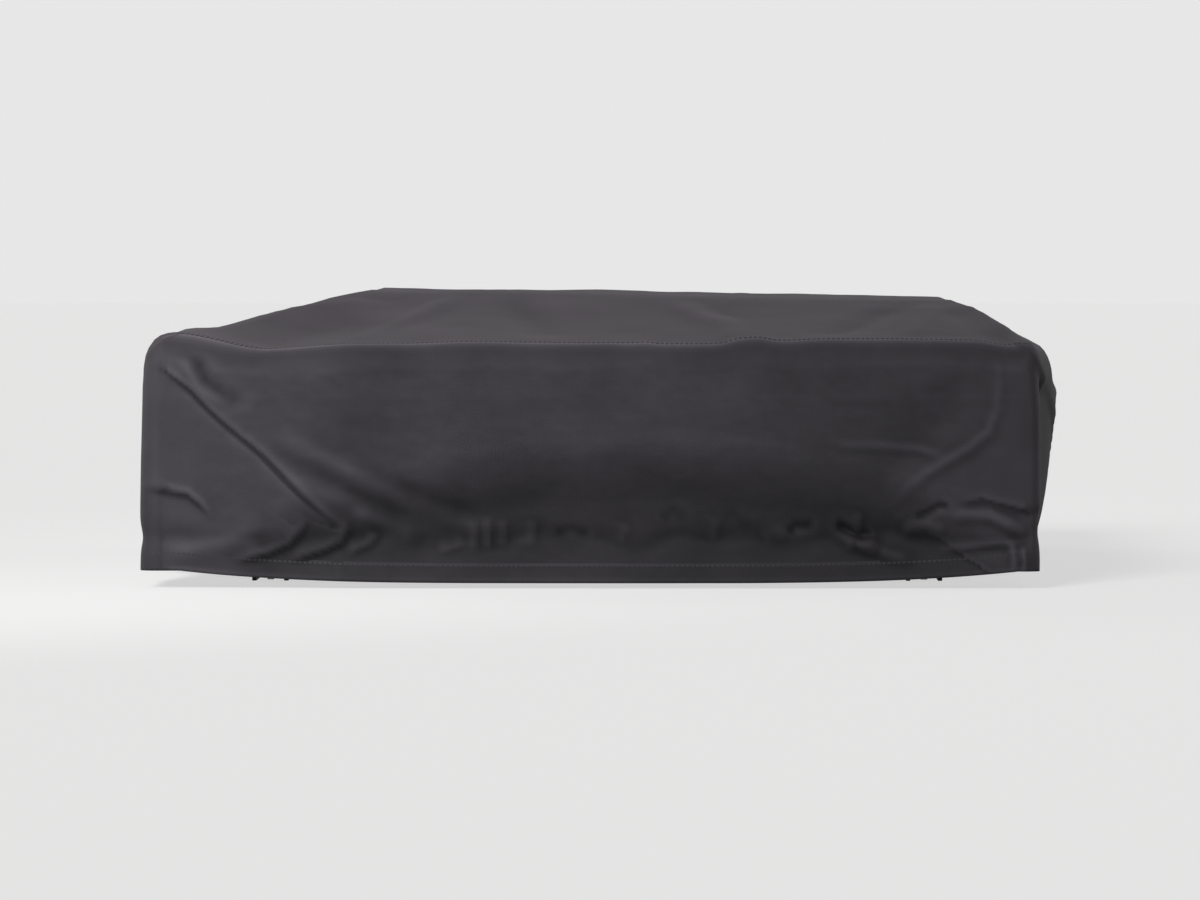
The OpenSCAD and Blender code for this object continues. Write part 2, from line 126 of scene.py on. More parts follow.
def meshPiece(name, points, faces, material):
    mesh = bpy.data.meshes.new(name)
    mesh.from_pydata([tuple(p) for p in points], [], faces)
    mesh.update()
    piece = bpy.data.objects.new(name, mesh)
    bpy.context.scene.collection.objects.link(piece)
    mesh.materials.append(material)
    for polygon in mesh.polygons:
        polygon.use_smooth = True
    return piece


def gridFaces(rows, columns):
    return [(r * columns + c, r * columns + c + 1, (r + 1) * columns + c + 1, (r + 1) * columns + c)
            for r in range(rows - 1) for c in range(columns - 1)]


def writeUv(piece, name, values):
    layer = piece.data.uv_layers.new(name=name)
    index = np.empty(len(piece.data.loops), dtype=np.int32)
    piece.data.loops.foreach_get("vertex_index", index)
    layer.data.foreach_set("uv", np.asarray(values, dtype=np.float32)[index].ravel())


def writeValue(piece, name, values):
    attribute = piece.data.attributes.new(name, "FLOAT", "POINT")
    attribute.data.foreach_set("value", np.asarray(values, dtype=np.float32))


# Materials

def weaveOf(tree, uv, spacingMm, threads):
    # warp and weft across each other; a wave texture's bands lie 0.3142 / scale apart
    wave = {"Scale": 0.3142 / (spacingMm / 1000), **threads}
    warp, weft = (addNode(tree, "ShaderNodeTexWave", {"bands_direction": way, **wave},
                          {"Vector": uv.outputs["UV"]}) for way in ("X", "Y"))
    return addNode(tree, "ShaderNodeMath", {"operation": "MULTIPLY"},
                   {0: warp.outputs["Fac"], 1: weft.outputs["Fac"]})


def coatedPolyester():
    # charcoal woven polyester with a matt coating on it: soft broad gloss, dull weave, pale patches, painted
    # shade in folds and painted highlights on ridges and edges
    # the real weave is 0.5 mm, drawn coarse enough to show
    # the dust colour also paints the top lighter; the last four numbers scale the painted highlights and the
    # painted shade
    look = {"dark": "#3c3a3e", "pale": "#4d4a4f", "dustAndPaintedTop": "#665e68", "thread": "#3b3a3e",
            "weaveMm": 2.4, "stitchMm": 6.0, "stitchWide": 0.0011, "dustAndPaintedTopShare": 0.50, "threadShare": 0.16,
            "ridgeHighlight": 1.28, "fold": 0.46, "edgeHighlight": 1.55, "paintedShade": 0.45}
    material, tree, shader = newMaterial("coatedPolyester", {
        "IOR": 1.45, "Specular IOR Level": 0.13, "Sheen Weight": 0.05, "Sheen Roughness": 0.5})
    uv = addNode(tree, "ShaderNodeUVMap", {"uv_map": "cloth"})
    place = addNode(tree, "ShaderNodeTexCoord")
    weave = weaveOf(tree, uv, look["weaveMm"], {"Distortion": 0.6, "Detail Scale": 2.0})
    cloud = addNode(tree, "ShaderNodeTexNoise", {"Scale": 5.5, "Detail": 5.0, "Roughness": 0.62},
                    {"Vector": place.outputs["Object"]})
    grain = addNode(tree, "ShaderNodeTexNoise", {"Scale": 160.0, "Detail": 3.0},
                    {"Vector": place.outputs["Object"]})
    tone = addNode(tree, "ShaderNodeValToRGB", {"stops": [(0.32, look["dark"]), (0.70, look["pale"])]},
                   {"Fac": cloud.outputs["Fac"]})
    facing = addNode(tree, "ShaderNodeNewGeometry")
    upward = addNode(tree, "ShaderNodeSeparateXYZ", {}, {"Vector": facing.outputs["Normal"]})
    # fine dust lies on what faces up; the paler top is also painted light from above
    dustAndPaintedTopMask = addNode(tree, "ShaderNodeMapRange",
                    {"From Min": 0.35, "From Max": 1.0, "To Max": look["dustAndPaintedTopShare"]},
                    {"Value": upward.outputs["Z"]})
    withDustAndPaintedTop = addNode(tree, "ShaderNodeMix", {"data_type": "RGBA", 7: hexLinear(look["dustAndPaintedTop"])},
                     {0: dustAndPaintedTopMask.outputs["Result"], 6: tone.outputs["Color"]})
    times = {"data_type": "RGBA", "blend_type": "MULTIPLY"}
    threaded = addNode(tree, "ShaderNodeMix", {**times, 0: look["threadShare"]},
                       {6: withDustAndPaintedTop.outputs[2], 7: weave.outputs[0]})
    # painted shade in the folds and painted highlight on the ridges, from the crease attribute
    crease = addNode(tree, "ShaderNodeAttribute", {"attribute_name": "crease"})
    foldShadeRidgeHighlight = addNode(tree, "ShaderNodeMapRange",
                   {"From Min": -1.0, "From Max": 1.0, "To Min": look["ridgeHighlight"], "To Max": look["fold"]},
                   {"Value": crease.outputs["Fac"]})
    folded = addNode(tree, "ShaderNodeMix", {**times, 0: 1.0},
                     {6: threaded.outputs[2], 7: foldShadeRidgeHighlight.outputs["Result"]})
    # then painted shade where the skirts are drawn in and low on the sides, and a painted highlight along the
    # crisp front and rear edges
    paintedShadeAndHighlight = addNode(tree, "ShaderNodeAttribute", {"attribute_name": "paintedShadeAndHighlight"})
    low = addNode(tree, "ShaderNodeMapRange",
                  {"From Min": -1.0, "From Max": 1.0, "To Min": look["edgeHighlight"], "To Max": look["paintedShade"]},
                  {"Value": paintedShadeAndHighlight.outputs["Fac"]})
    paintedShadeAndHighlightMixed = addNode(tree, "ShaderNodeMix", {**times, 0: 1.0},
                     {6: folded.outputs[2], 7: low.outputs["Result"]})
    # stitches at the upper edge and the hem: distance from the seam is an attribute, dashes run along it
    along = addNode(tree, "ShaderNodeSeparateXYZ", {}, {"Vector": uv.outputs["UV"]})
    dash = addNode(tree, "ShaderNodeMath", {"operation": "PINGPONG", 1: look["stitchMm"] / 2000},
                   {0: along.outputs["X"]})
    dashed = addNode(tree, "ShaderNodeMath", {"operation": "LESS_THAN", 1: look["stitchMm"] / 2000 * 0.66},
                     {0: dash.outputs[0]})
    seam = addNode(tree, "ShaderNodeAttribute", {"attribute_name": "seamAway"})
    offLine = addNode(tree, "ShaderNodeMath", {"operation": "ABSOLUTE"}, {0: seam.outputs["Fac"]})
    onLine = addNode(tree, "ShaderNodeMath", {"operation": "LESS_THAN", 1: look["stitchWide"]},
                     {0: offLine.outputs[0]})
    stitch = addNode(tree, "ShaderNodeMath", {"operation": "MULTIPLY"},
                     {0: dashed.outputs[0], 1: onLine.outputs[0]})
    sewn = addNode(tree, "ShaderNodeMix", {"data_type": "RGBA", 7: hexLinear(look["thread"])},
                   {0: stitch.outputs[0], 6: paintedShadeAndHighlightMixed.outputs[2]})
    gloss = addNode(tree, "ShaderNodeMapRange", {"To Min": 0.54, "To Max": 0.70},
                    {"Value": cloud.outputs["Fac"]})
    relief = addNode(tree, "ShaderNodeMath", {"operation": "MULTIPLY_ADD", 1: 0.35},
                     {0: grain.outputs["Fac"], 2: weave.outputs[0]})
    raised = addNode(tree, "ShaderNodeMath", {"operation": "MULTIPLY_ADD", 1: 1.5},
                     {0: stitch.outputs[0], 2: relief.outputs[0]})
    bump = addNode(tree, "ShaderNodeBump", {"Strength": 0.35, "Distance": 0.0004},
                   {"Height": raised.outputs[0]})
    wire(tree, shader, {"Base Color": sewn.outputs[2], "Roughness": gloss.outputs["Result"],
                        "Normal": bump.outputs["Normal"]})
    return material


def wovenCloth(name, pale, dark, spacingMm, mapName, roughness=0.85, sheen=0.2, gridMm=None):
    # plain woven cloth: dull, with fine threads across each other and, on ripstop, a grid of thicker ones
    material, tree, shader = newMaterial(name, {
        "Roughness": roughness, "IOR": 1.45, "Specular IOR Level": 0.3,
        "Sheen Weight": sheen, "Sheen Roughness": 0.5})
    uv = addNode(tree, "ShaderNodeUVMap", {"uv_map": mapName})
    weave = weaveOf(tree, uv, spacingMm, {"Distortion": 0.8})
    cloud = addNode(tree, "ShaderNodeTexNoise", {"Scale": 4.0, "Detail": 6.0, "Roughness": 0.6},
                    {"Vector": uv.outputs["UV"]})
    mixed = addNode(tree, "ShaderNodeMath", {"operation": "MULTIPLY_ADD", 1: 0.55},
                    {0: weave.outputs[0], 2: cloud.outputs["Fac"]})
    tone = addNode(tree, "ShaderNodeValToRGB", {"stops": [(0.35, dark), (0.95, pale)]},
                   {"Fac": mixed.outputs[0]})
    height = weave.outputs[0]
    if gridMm:
        ripstop = {"offset": 0.0, "Scale": 1000 / gridMm, "Mortar Size": 0.06, "Brick Width": 1.0,
                   "Row Height": 1.0, "Color1": (0, 0, 0, 1), "Color2": (0, 0, 0, 1), "Mortar": (1, 1, 1, 1)}
        grid = addNode(tree, "ShaderNodeTexBrick", ripstop, {"Vector": uv.outputs["UV"]})
        both = addNode(tree, "ShaderNodeMath", {"operation": "ADD"},
                       {0: weave.outputs[0], 1: grid.outputs["Color"]})
        height = both.outputs[0]
    bump = addNode(tree, "ShaderNodeBump", {"Strength": 0.5, "Distance": 0.0005}, {"Height": height})
    wire(tree, shader, {"Base Color": tone.outputs["Color"], "Normal": bump.outputs["Normal"]})
    return material


def anodisedAluminium():
    # drawn tube with a clear anodised skin: long faint draw lines and a satin gloss
    material, tree, shader = newMaterial("anodisedAluminium", {"Metallic": 1.0})
    place = addNode(tree, "ShaderNodeTexCoord")
    stretch = addNode(tree, "ShaderNodeMapping", {"Scale": (6.0, 260.0, 260.0)},
                      {"Vector": place.outputs["Object"]})
    lines = addNode(tree, "ShaderNodeTexNoise", {"Scale": 1.0, "Detail": 4.0},
                    {"Vector": stretch.outputs["Vector"]})
    tone = addNode(tree, "ShaderNodeValToRGB", {"stops": [(0.0, "#b3b6b8"), (1.0, "#cfd1d2")]},
                   {"Fac": lines.outputs["Fac"]})
    gloss = addNode(tree, "ShaderNodeMapRange", {"To Min": 0.26, "To Max": 0.44},
                    {"Value": lines.outputs["Fac"]})
    bump = addNode(tree, "ShaderNodeBump", {"Strength": 0.12, "Distance": 0.0002},
                   {"Height": lines.outputs["Fac"]})
    wire(tree, shader, {"Base Color": tone.outputs["Color"], "Roughness": gloss.outputs["Result"],
                        "Normal": bump.outputs["Normal"]})
    return material


def grainySurface(name, dark, pale, grainMm, low, high, depth, settings):
    # moulded, coated or rubbery skin: fine pits from the mould or the powder, with a little uneven gloss
    material, tree, shader = newMaterial(name, settings)
    place = addNode(tree, "ShaderNodeTexCoord")
    pits = addNode(tree, "ShaderNodeTexNoise", {"Scale": 1000 / grainMm, "Detail": 2.0},
                   {"Vector": place.outputs["Object"]})
    cloud = addNode(tree, "ShaderNodeTexNoise", {"Scale": 9.0, "Detail": 4.0},
                    {"Vector": place.outputs["Object"]})
    tone = addNode(tree, "ShaderNodeValToRGB", {"stops": [(0.3, dark), (0.75, pale)]},
                   {"Fac": cloud.outputs["Fac"]})
    gloss = addNode(tree, "ShaderNodeMapRange", {"To Min": low, "To Max": high},
                    {"Value": cloud.outputs["Fac"]})
    bump = addNode(tree, "ShaderNodeBump", {"Strength": 0.3, "Distance": depth},
                   {"Height": pits.outputs["Fac"]})
    wire(tree, shader, {"Base Color": tone.outputs["Color"], "Roughness": gloss.outputs["Result"],
                        "Normal": bump.outputs["Normal"]})
    return material


coverCloth = coatedPolyester()
canopyCloth = wovenCloth("polycottonRipstop", "#a3a194", "#7d7b70", 3.0, "cloth", gridMm=14)
windowNet = wovenCloth("polyesterNet", "#4a4b4b", "#232425", 3.5, "cloth", roughness=0.7)
bindingCloth = wovenCloth("nylonBinding", "#6f6c62", "#504e47", 2.0, "cloth", roughness=0.75)
mattressCloth = wovenCloth("knittedMattressCover", "#6d7075", "#4b4e53", 3.0, "cloth", sheen=0.35)
webbingCloth = wovenCloth("nylonWebbing", "#2e2e30", "#161617", 2.2, "cloth", roughness=0.7)
tubeAlloy = anodisedAluminium()
powderCoat = grainySurface("powderCoatedAluminium", "#222325", "#2d2e30", 0.9, 0.42, 0.56, 0.0002,
                           {"IOR": 1.5})
mouldedNylon = grainySurface("mouldedNylon", "#1a1a1c", "#242427", 1.1, 0.45, 0.62, 0.0002, {"IOR": 1.53})
softRubber = grainySurface("mouldedRubber", "#141414", "#1f1f1f", 1.6, 0.72, 0.88, 0.0003, {"IOR": 1.52})
zincSteel = grainySurface("zincPlatedSteel", "#a9aaa6", "#c6c7c2", 0.7, 0.26, 0.42, 0.0001, {"Metallic": 1.0})
boardSkin = grainySurface("texturedBoardSkin", "#33353a", "#3d4046", 1.8, 0.55, 0.7, 0.0004, {"IOR": 1.48})
print("stage: materials")

rungs = range(1, 8)
hoops = ["hoop_low", "hoop_middle", "hoop_high"]
clampEnds = ["front", "rear"]
finishes = {
    tubeAlloy: hoops + [f"ladder_stiles_{k}" for k in rungs],
    powderCoat: ["fixed_frame", "mounting_rails", "fixed_hinge_brackets", "folding_frame",
                 "folding_hinge_brackets", "ladder_brackets"] + [f"{end}_clamp_plates" for end in clampEnds],
    mouldedNylon: ["fixed_frame_corners", "rail_end_caps", "folding_frame_corners", "buckle_sockets",
                   "buckle_tongues"] + [f"{hoop}_elbows" for hoop in hoops]
    + [f"ladder_step_{k}" for k in rungs],
    softRubber: ["ladder_rests", "ladder_feet"] + [f"{end}_clamp_pads" for end in clampEnds],
    zincSteel: ["rail_screws", "fixed_bracket_screws", "hinge_pins", "hinge_pin_clips",
                "folding_bracket_screws", "ladder_pivot_pins"]
    + [f"{end}_clamp_{kind}" for kind in ("bolts", "nuts") for end in clampEnds],
    boardSkin: ["fixed_panel", "folding_panel"],
}
for finish, names in finishes.items():
    for name in names:
        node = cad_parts[name]
        node.data.materials.clear()
        node.data.materials.append(finish)


# Camera, light and floor

def lookAt(holder, place, target):
    holder.location = place
    holder.rotation_euler = (Vector(target) - Vector(place)).to_track_quat("-Z", "Y").to_euler()
    bpy.context.scene.collection.objects.link(holder)


viewpoint = {"place": (0.102, -9.087, 0.412), "target": (0.006, -0.62, 0.166), "lens": 213.0}
camera = bpy.data.objects.new("camera", bpy.data.cameras.new("camera"))
lookAt(camera, viewpoint["place"], viewpoint["target"])
camera.data.lens = viewpoint["lens"]
camera.data.sensor_width = 36.0
camera.data.clip_end = 100.0
bpy.context.scene.camera = camera

# mirrored is the share of the pale backdrop that gloss shows
studio = {"floor": "#b0b0af", "floorDark": "#aaaaa9", "bounce": "#77777a", "floorSize": 80.0,
          "floorAt": -0.0006, "sun": 1.70, "key": 3.0, "fill": 0.4, "side": 0.55, "sky": 0.11, "glow": 0.60,
          "backdrop": 0.80, "mirrored": 0.40}


def seenRays(tree):
    # 1 for what the camera sees, less for what gloss mirrors, 0 for the light that falls on the object
    paths = addNode(tree, "ShaderNodeLightPath")
    mirrored = addNode(tree, "ShaderNodeMath", {"operation": "MULTIPLY", 1: studio["mirrored"]},
                       {0: paths.outputs["Is Glossy Ray"]})
    seen = addNode(tree, "ShaderNodeMath", {"operation": "MAXIMUM"},
                   {0: paths.outputs["Is Camera Ray"], 1: mirrored.outputs[0]})
    return seen.outputs[0]


deselectAll()
bpy.ops.mesh.primitive_plane_add(size=studio["floorSize"], location=(0, 0, studio["floorAt"]))
floor = bpy.context.active_object
floor.name = "studioFloor"
floorPaint, floorTree, floorShader = newMaterial("paleFloor", {
    "Roughness": 0.9, "Specular IOR Level": 0.1, "Emission Color": (1.0, 1.0, 1.0, 1.0)})
floorGrain = addNode(floorTree, "ShaderNodeTexNoise", {"Scale": 3.0})
floorTone = addNode(floorTree, "ShaderNodeValToRGB",
                    {"stops": [(0.0, studio["floorDark"]), (1.0, studio["floor"])]},
                    {"Fac": floorGrain.outputs["Fac"]})
floorSeen = seenRays(floorTree)
floorColour = addNode(floorTree, "ShaderNodeMix", {"data_type": "RGBA", 6: hexLinear(studio["bounce"])},
                      {0: floorSeen, 7: floorTone.outputs["Color"]})
# a pale floor that throws no more light on the object
floorGlow = addNode(floorTree, "ShaderNodeMath", {"operation": "MULTIPLY", 1: studio["glow"]}, {0: floorSeen})
wire(floorTree, floorShader,
     {"Base Color": floorColour.outputs[2], "Emission Strength": floorGlow.outputs[0]})
floor.data.materials.append(floorPaint)


def softLight(name, kind, place, target, size, power, spread=180):
    lamp = bpy.data.lights.new(name, kind)
    lamp.energy = power
    if kind == "AREA":
        lamp.shape = "DISK"
        lamp.size = size
        lamp.spread = math.radians(spread)
    else:
        lamp.angle = size
    lookAt(bpy.data.objects.new(name, lamp), place, target)


softLight("sunLight", "SUN", (-2.6, -7.0, 3.6), (0, 0, 0.2), 0.30, studio["sun"])
softLight("keyLight", "AREA", (-1.5, -3.5, 1.5), (-0.56, -0.60, 0.17), 0.9, studio["key"], 34)
softLight("fillLight", "AREA", (3.6, -3.4, 2.4), (0, -0.3, 0.2), 3.0, studio["fill"], 80)
softLight("rightLight", "SUN", (3.3, 2.2, 0.80), (0, 0, 0.1), 0.5, studio["side"])
softLight("leftLight", "SUN", (-3.3, 2.2, 0.80), (0, 0, 0.1), 0.5, studio["side"])
world = bpy.data.worlds.new("studioWorld")
bpy.context.scene.world = world
world.use_nodes = True
sky = world.node_tree.nodes["Background"]
sky.inputs["Color"].default_value = (1.0, 1.0, 1.0, 1.0)
level = addNode(world.node_tree, "ShaderNodeMapRange",
                {"To Min": studio["sky"], "To Max": studio["backdrop"]}, {"Value": seenRays(world.node_tree)})
wire(world.node_tree, sky, {"Strength": level.outputs["Result"]})
bpy.context.scene.view_settings.view_transform = "Standard"
print("stage: camera, light and floor")


# Travel cover: one sewn shell over the folded stack, with the folds that the hanging cloth shows

coverCut = {
    "halfWidth": 0.538, "halfLength": 0.612,
    # height of the front and rear edges, and how it changes from -X to +X
    "edge": 0.287, "hingeRise": 0.019, "middleRise": 0.0085, "rightRise": 0.004, "cornerDrop": 0.0061,
    "ladderRise": 0.0046,
    # rounding of the front and rear edges, and of the two sides
    "crispRound": 0.009, "softRound": 0.044,
    # plan radii, from the front right corner round
    "edgeCorners": (0.036, 0.030, 0.052, 0.052), "upperCorners": (0.024, 0.030, 0.030, 0.020),
    "lowerCorners": (0.018, 0.030, 0.030, 0.022),
    # the front right corner is drawn in, and the side bulges behind it
    "cornerTuck": 0.010, "tuckAtEdge": 1.3, "tuckReach": (0.005, 0.110),
    # front, +X, rear, -X
    "wallOut": (0.0, 0.013, 0.0, 0.003), "edgeTurn": (0.14, 0.53, 0.14, 0.0),
    "slopeSlack": (-0.004, 0.002, -0.004, 0.0), "slopeDip": 0.0075,
    "crown": 0.3555, "crownDrop": 0.014, "crownLow": (-0.283, -0.235), "crownHigh": (0.440, 0.235),
    "alongX": 264, "alongY": 90, "arc": 6, "slopeRings": 14, "roundRings": 6, "skirtRings": 72, "crowd": 1.2,
    "hemLow": 0.006, "hemCorner": 0.021, "hemArch": 0.056, "barAt": 0.350, "archHalf": 0.090,
    "hemTurn": 0.024, "hemSeam": 0.021, "cloth": 0.0026, "seamRise": 0.0014, "seamTurn": 0.75,
    # creaseFull scales the painted fold shade and ridge highlight; the last two set the painted edge
    # highlight and how much ridge highlight the corners lose
    "hollow": 0.014, "noSeam": 0.1, "creaseFull": 0.070, "edgeHighlight": 0.85, "cornerHighlightCut": 0.85,
    # the line along which the cloth is drawn in under the base
    "drawLine": 0.062, "drawDeep": 0.0030, "drawUnder": 0.0012,
    # size and depth of the slack; rise, place, width and steepness of the puckers on the front upper edge
    "slack": (0.26, 0.0040), "fineSlack": (0.085, 0.0010),
    "puckers": ((0.0055, 0.184, 0.026, 4), (0.0020, 0.062, 0.012, 2)), "ripple": 0.0006,
}

# Folds on a skirt, as [kind, line of (along, height), height of the fold, width]: crease is sharp, fold is
# soft, lap steps up on the left of its line and dies away there, facet lifts the cloth on the right of it
frontFolds = [
    # from the upper left corner down to the lower edge: a long sharp crease with a flat facet beside it
    ["facet", [(-0.580, 0.266), (-0.502, 0.251), (-0.418, 0.175), (-0.352, 0.114), (-0.310, 0.078),
               (-0.300, 0.020)], -0.008, 0.085],
    ["lap", [(-0.560, 0.262), (-0.520, 0.260), (-0.482, 0.235), (-0.418, 0.175), (-0.352, 0.114),
             (-0.311, 0.078), (-0.290, 0.060)], 0.0080, 0.030],
    ["crease", [(-0.535, 0.258), (-0.518, 0.260), (-0.482, 0.235), (-0.418, 0.175), (-0.352, 0.114),
                (-0.311, 0.078)], -0.0056, 0.0040],
    ["fold", [(-0.482, 0.290), (-0.462, 0.253), (-0.442, 0.235), (-0.405, 0.219)], -0.0042, 0.012],
    ["fold", [(-0.497, 0.278), (-0.468, 0.240), (-0.430, 0.218)], 0.0030, 0.009],
    ["lap", [(-0.440, 0.031), (-0.392, 0.042), (-0.365, 0.053), (-0.350, 0.070),
             (-0.340, 0.090)], 0.0085, 0.014],
    ["lap", [(-0.372, 0.030), (-0.322, 0.047), (-0.302, 0.058), (-0.297, 0.074),
             (-0.300, 0.090)], 0.0080, 0.013],
    ["lap", [(-0.298, 0.042), (-0.270, 0.056), (-0.258, 0.070)], 0.0055, 0.012],
    ["lap", [(-0.190, 0.044), (-0.170, 0.048), (-0.150, 0.056)], 0.0030, 0.008],
    ["lap", [(-0.550, 0.122), (-0.505, 0.115), (-0.485, 0.111), (-0.471, 0.100),
             (-0.455, 0.082)], 0.0066, 0.014],
    ["fold", [(-0.520, 0.040), (-0.450, 0.055), (-0.390, 0.076)], 0.0036, 0.014],
    ["fold", [(-0.400, 0.176), (-0.365, 0.153), (-0.292, 0.117), (-0.239, 0.090),
              (-0.200, 0.072)], -0.0046, 0.013],
    ["fold", [(-0.385, 0.186), (-0.330, 0.160), (-0.270, 0.134), (-0.215, 0.108)], 0.0036, 0.014],
    ["fold", [(-0.300, 0.150), (-0.250, 0.128), (-0.172, 0.103), (-0.120, 0.086)], -0.0042, 0.014],
    ["fold", [(-0.300, 0.098), (-0.240, 0.070), (-0.205, 0.056)], 0.0040, 0.012],
    # short pleats and puckers where the cloth is drawn in under the base
    ["lap", [(-0.142, 0.040), (-0.143, 0.090)], 0.0034, 0.009],
    ["lap", [(-0.126, 0.042), (-0.125, 0.092)], 0.0036, 0.009],
    ["lap", [(-0.109, 0.044), (-0.107, 0.088)], 0.0028, 0.010],
    ["lap", [(-0.076, 0.044), (-0.074, 0.086)], 0.0032, 0.012],
    ["fold", [(-0.056, 0.064), (-0.030, 0.069), (-0.004, 0.062)], -0.0026, 0.0075],
    ["lap", [(0.030, 0.050), (0.040, 0.080)], 0.0024, 0.010],
    ["fold", [(0.074, 0.082), (0.092, 0.092), (0.112, 0.083)], -0.0014, 0.0080],
    ["lap", [(0.140, 0.052), (0.150, 0.084)], 0.0024, 0.011],
    ["fold", [(0.150, 0.078), (0.167, 0.085), (0.190, 0.068)], -0.0010, 0.0080],
    ["fold", [(0.196, 0.058), (0.216, 0.066), (0.228, 0.060)], 0.0014, 0.009],
    ["fold", [(0.226, 0.064), (0.238, 0.075), (0.262, 0.076)], -0.0026, 0.0070],
    ["fold", [(0.284, 0.080), (0.304, 0.071), (0.318, 0.064), (0.336, 0.068)], -0.0054, 0.0065],
    ["fold", [(0.296, 0.056), (0.316, 0.058), (0.345, 0.048)], 0.0040, 0.008],
    ["lap", [(0.306, 0.046), (0.318, 0.072), (0.320, 0.096)], 0.0036, 0.012],
    ["fold", [(0.378, 0.080), (0.392, 0.086), (0.408, 0.094), (0.424, 0.093)], -0.0032, 0.0055],
    ["fold", [(0.362, 0.070), (0.394, 0.072), (0.420, 0.064)], 0.0034, 0.008],
    # from the upper right corner down to the lower edge: a narrow curved ridge, and the slack beyond it
    ["fold", [(0.482, 0.300), (0.485, 0.250), (0.482, 0.220), (0.472, 0.190), (0.447, 0.167), (0.420, 0.150),
              (0.393, 0.133), (0.373, 0.117), (0.350, 0.086)], 0.0028, 0.008],
    ["facet", [(0.330, 0.040), (0.353, 0.090), (0.373, 0.117), (0.393, 0.133), (0.420, 0.150), (0.447, 0.167),
               (0.472, 0.190), (0.485, 0.240), (0.485, 0.310)], 0.0060, 0.060],
    ["fold", [(0.270, 0.178), (0.307, 0.171), (0.347, 0.169), (0.387, 0.165), (0.430, 0.152)], 0.0017, 0.007],
    ["fold", [(0.440, 0.270), (0.420, 0.205), (0.370, 0.160), (0.320, 0.110)], -0.0030, 0.024],
    ["lap", [(0.560, 0.094), (0.505, 0.098), (0.462, 0.104), (0.425, 0.094)], -0.0055, 0.016],
    ["fold", [(0.410, 0.082), (0.473, 0.087), (0.520, 0.070)], 0.0042, 0.008],
    ["lap", [(0.400, 0.038), (0.440, 0.046), (0.480, 0.053), (0.520, 0.058)], 0.0046, 0.013],
    ["fold", [(0.305, 0.066), (0.345, 0.048), (0.385, 0.030)], 0.0030, 0.008],
    ["fold", [(0.500, 0.000), (0.501, 0.036), (0.497, 0.064)], 0.0034, 0.0065],
    ["fold", [(0.514, 0.000), (0.514, 0.034), (0.511, 0.058)], 0.0034, 0.0060],
]
rearFolds = [[kind, [(0.94 * x, z) for x, z in line], rise, width]
             for kind, line, rise, width in frontFolds]
sideFolds = [
    ["lap", [(-0.570, 0.246), (-0.540, 0.226), (-0.480, 0.170), (-0.420, 0.110),
             (-0.400, 0.080)], 0.0050, 0.036],
    ["fold", [(-0.500, 0.262), (-0.470, 0.215), (-0.420, 0.185)], 0.0040, 0.016],
    ["fold", [(-0.352, 0.070), (-0.330, 0.140), (-0.270, 0.215)], 0.0050, 0.018],
    ["lap", [(-0.350, 0.068), (-0.290, 0.112), (-0.190, 0.142)], 0.0050, 0.026],
    ["fold", [(-0.345, 0.068), (-0.270, 0.080), (-0.180, 0.086)], 0.0040, 0.012],
    ["fold", [(-0.120, 0.078), (0.000, 0.060), (0.130, 0.078)], -0.0045, 0.016],
    ["lap", [(0.012, 0.046), (0.010, 0.092)], 0.0036, 0.012],
    ["lap", [(-0.026, 0.048), (-0.022, 0.086)], 0.0036, 0.012],
    ["fold", [(0.352, 0.070), (0.320, 0.150), (0.250, 0.205)], 0.0050, 0.019],
    ["lap", [(0.180, 0.122), (0.290, 0.105), (0.350, 0.068)], 0.0048, 0.024],
    ["fold", [(0.352, 0.070), (0.420, 0.105), (0.510, 0.122)], 0.0045, 0.015],
    ["lap", [(0.420, 0.100), (0.470, 0.160), (0.530, 0.225), (0.595, 0.258)], 0.0055, 0.034],
    ["fold", [(0.575, 0.270), (0.505, 0.205), (0.455, 0.165)], 0.0055, 0.017],
    ["fold", [(0.470, 0.064), (0.540, 0.052), (0.595, 0.062)], -0.0045, 0.011],
]
otherSideFolds = [[kind, [(-x, z) for x, z in line[::-1]], rise, width]
                  for kind, line, rise, width in sideFolds]
skirtFolds = [frontFolds, sideFolds, rearFolds, otherSideFolds]   # front, +X, rear, -X
# Folds on the top, with lines of (x, y): tight ones run from the ladder's corners to the cover's, slack ones
# between them
frontTopFolds = [
    ["fold", [(0.430, -0.225), (0.470, -0.400), (0.505, -0.580)], 0.0050, 0.022],
    ["fold", [(-0.270, -0.225), (-0.380, -0.400), (-0.500, -0.580)], 0.0020, 0.024],
    ["fold", [(0.370, -0.240), (0.330, -0.420), (0.270, -0.590)], -0.0040, 0.024],
    ["fold", [(0.400, -0.250), (0.400, -0.420), (0.370, -0.590)], 0.0036, 0.018],
    ["fold", [(0.090, -0.240), (0.150, -0.420), (0.186, -0.604)], 0.0042, 0.020],
    ["fold", [(-0.160, -0.240), (-0.230, -0.420), (-0.300, -0.590)], 0.0036, 0.020],
    ["fold", [(-0.100, -0.240), (-0.080, -0.420), (-0.040, -0.590)], -0.0036, 0.030],
    ["lap", [(0.540, -0.430), (0.470, -0.330), (0.400, -0.290), (0.280, -0.270)], 0.0026, 0.030],
    ["lap", [(-0.180, -0.270), (-0.300, -0.310), (-0.420, -0.430), (-0.520, -0.520)], 0.0028, 0.030],
]
rearTopFolds = [[kind, [(0.9 * x - 0.01, -y) for x, y in line[::-1]], rise, width]
                for kind, line, rise, width in frontTopFolds]


def easeStep(value, low, high):
    t = np.clip((value - low) / (high - low), 0, 1)
    return t * t * (3 - 2 * t)


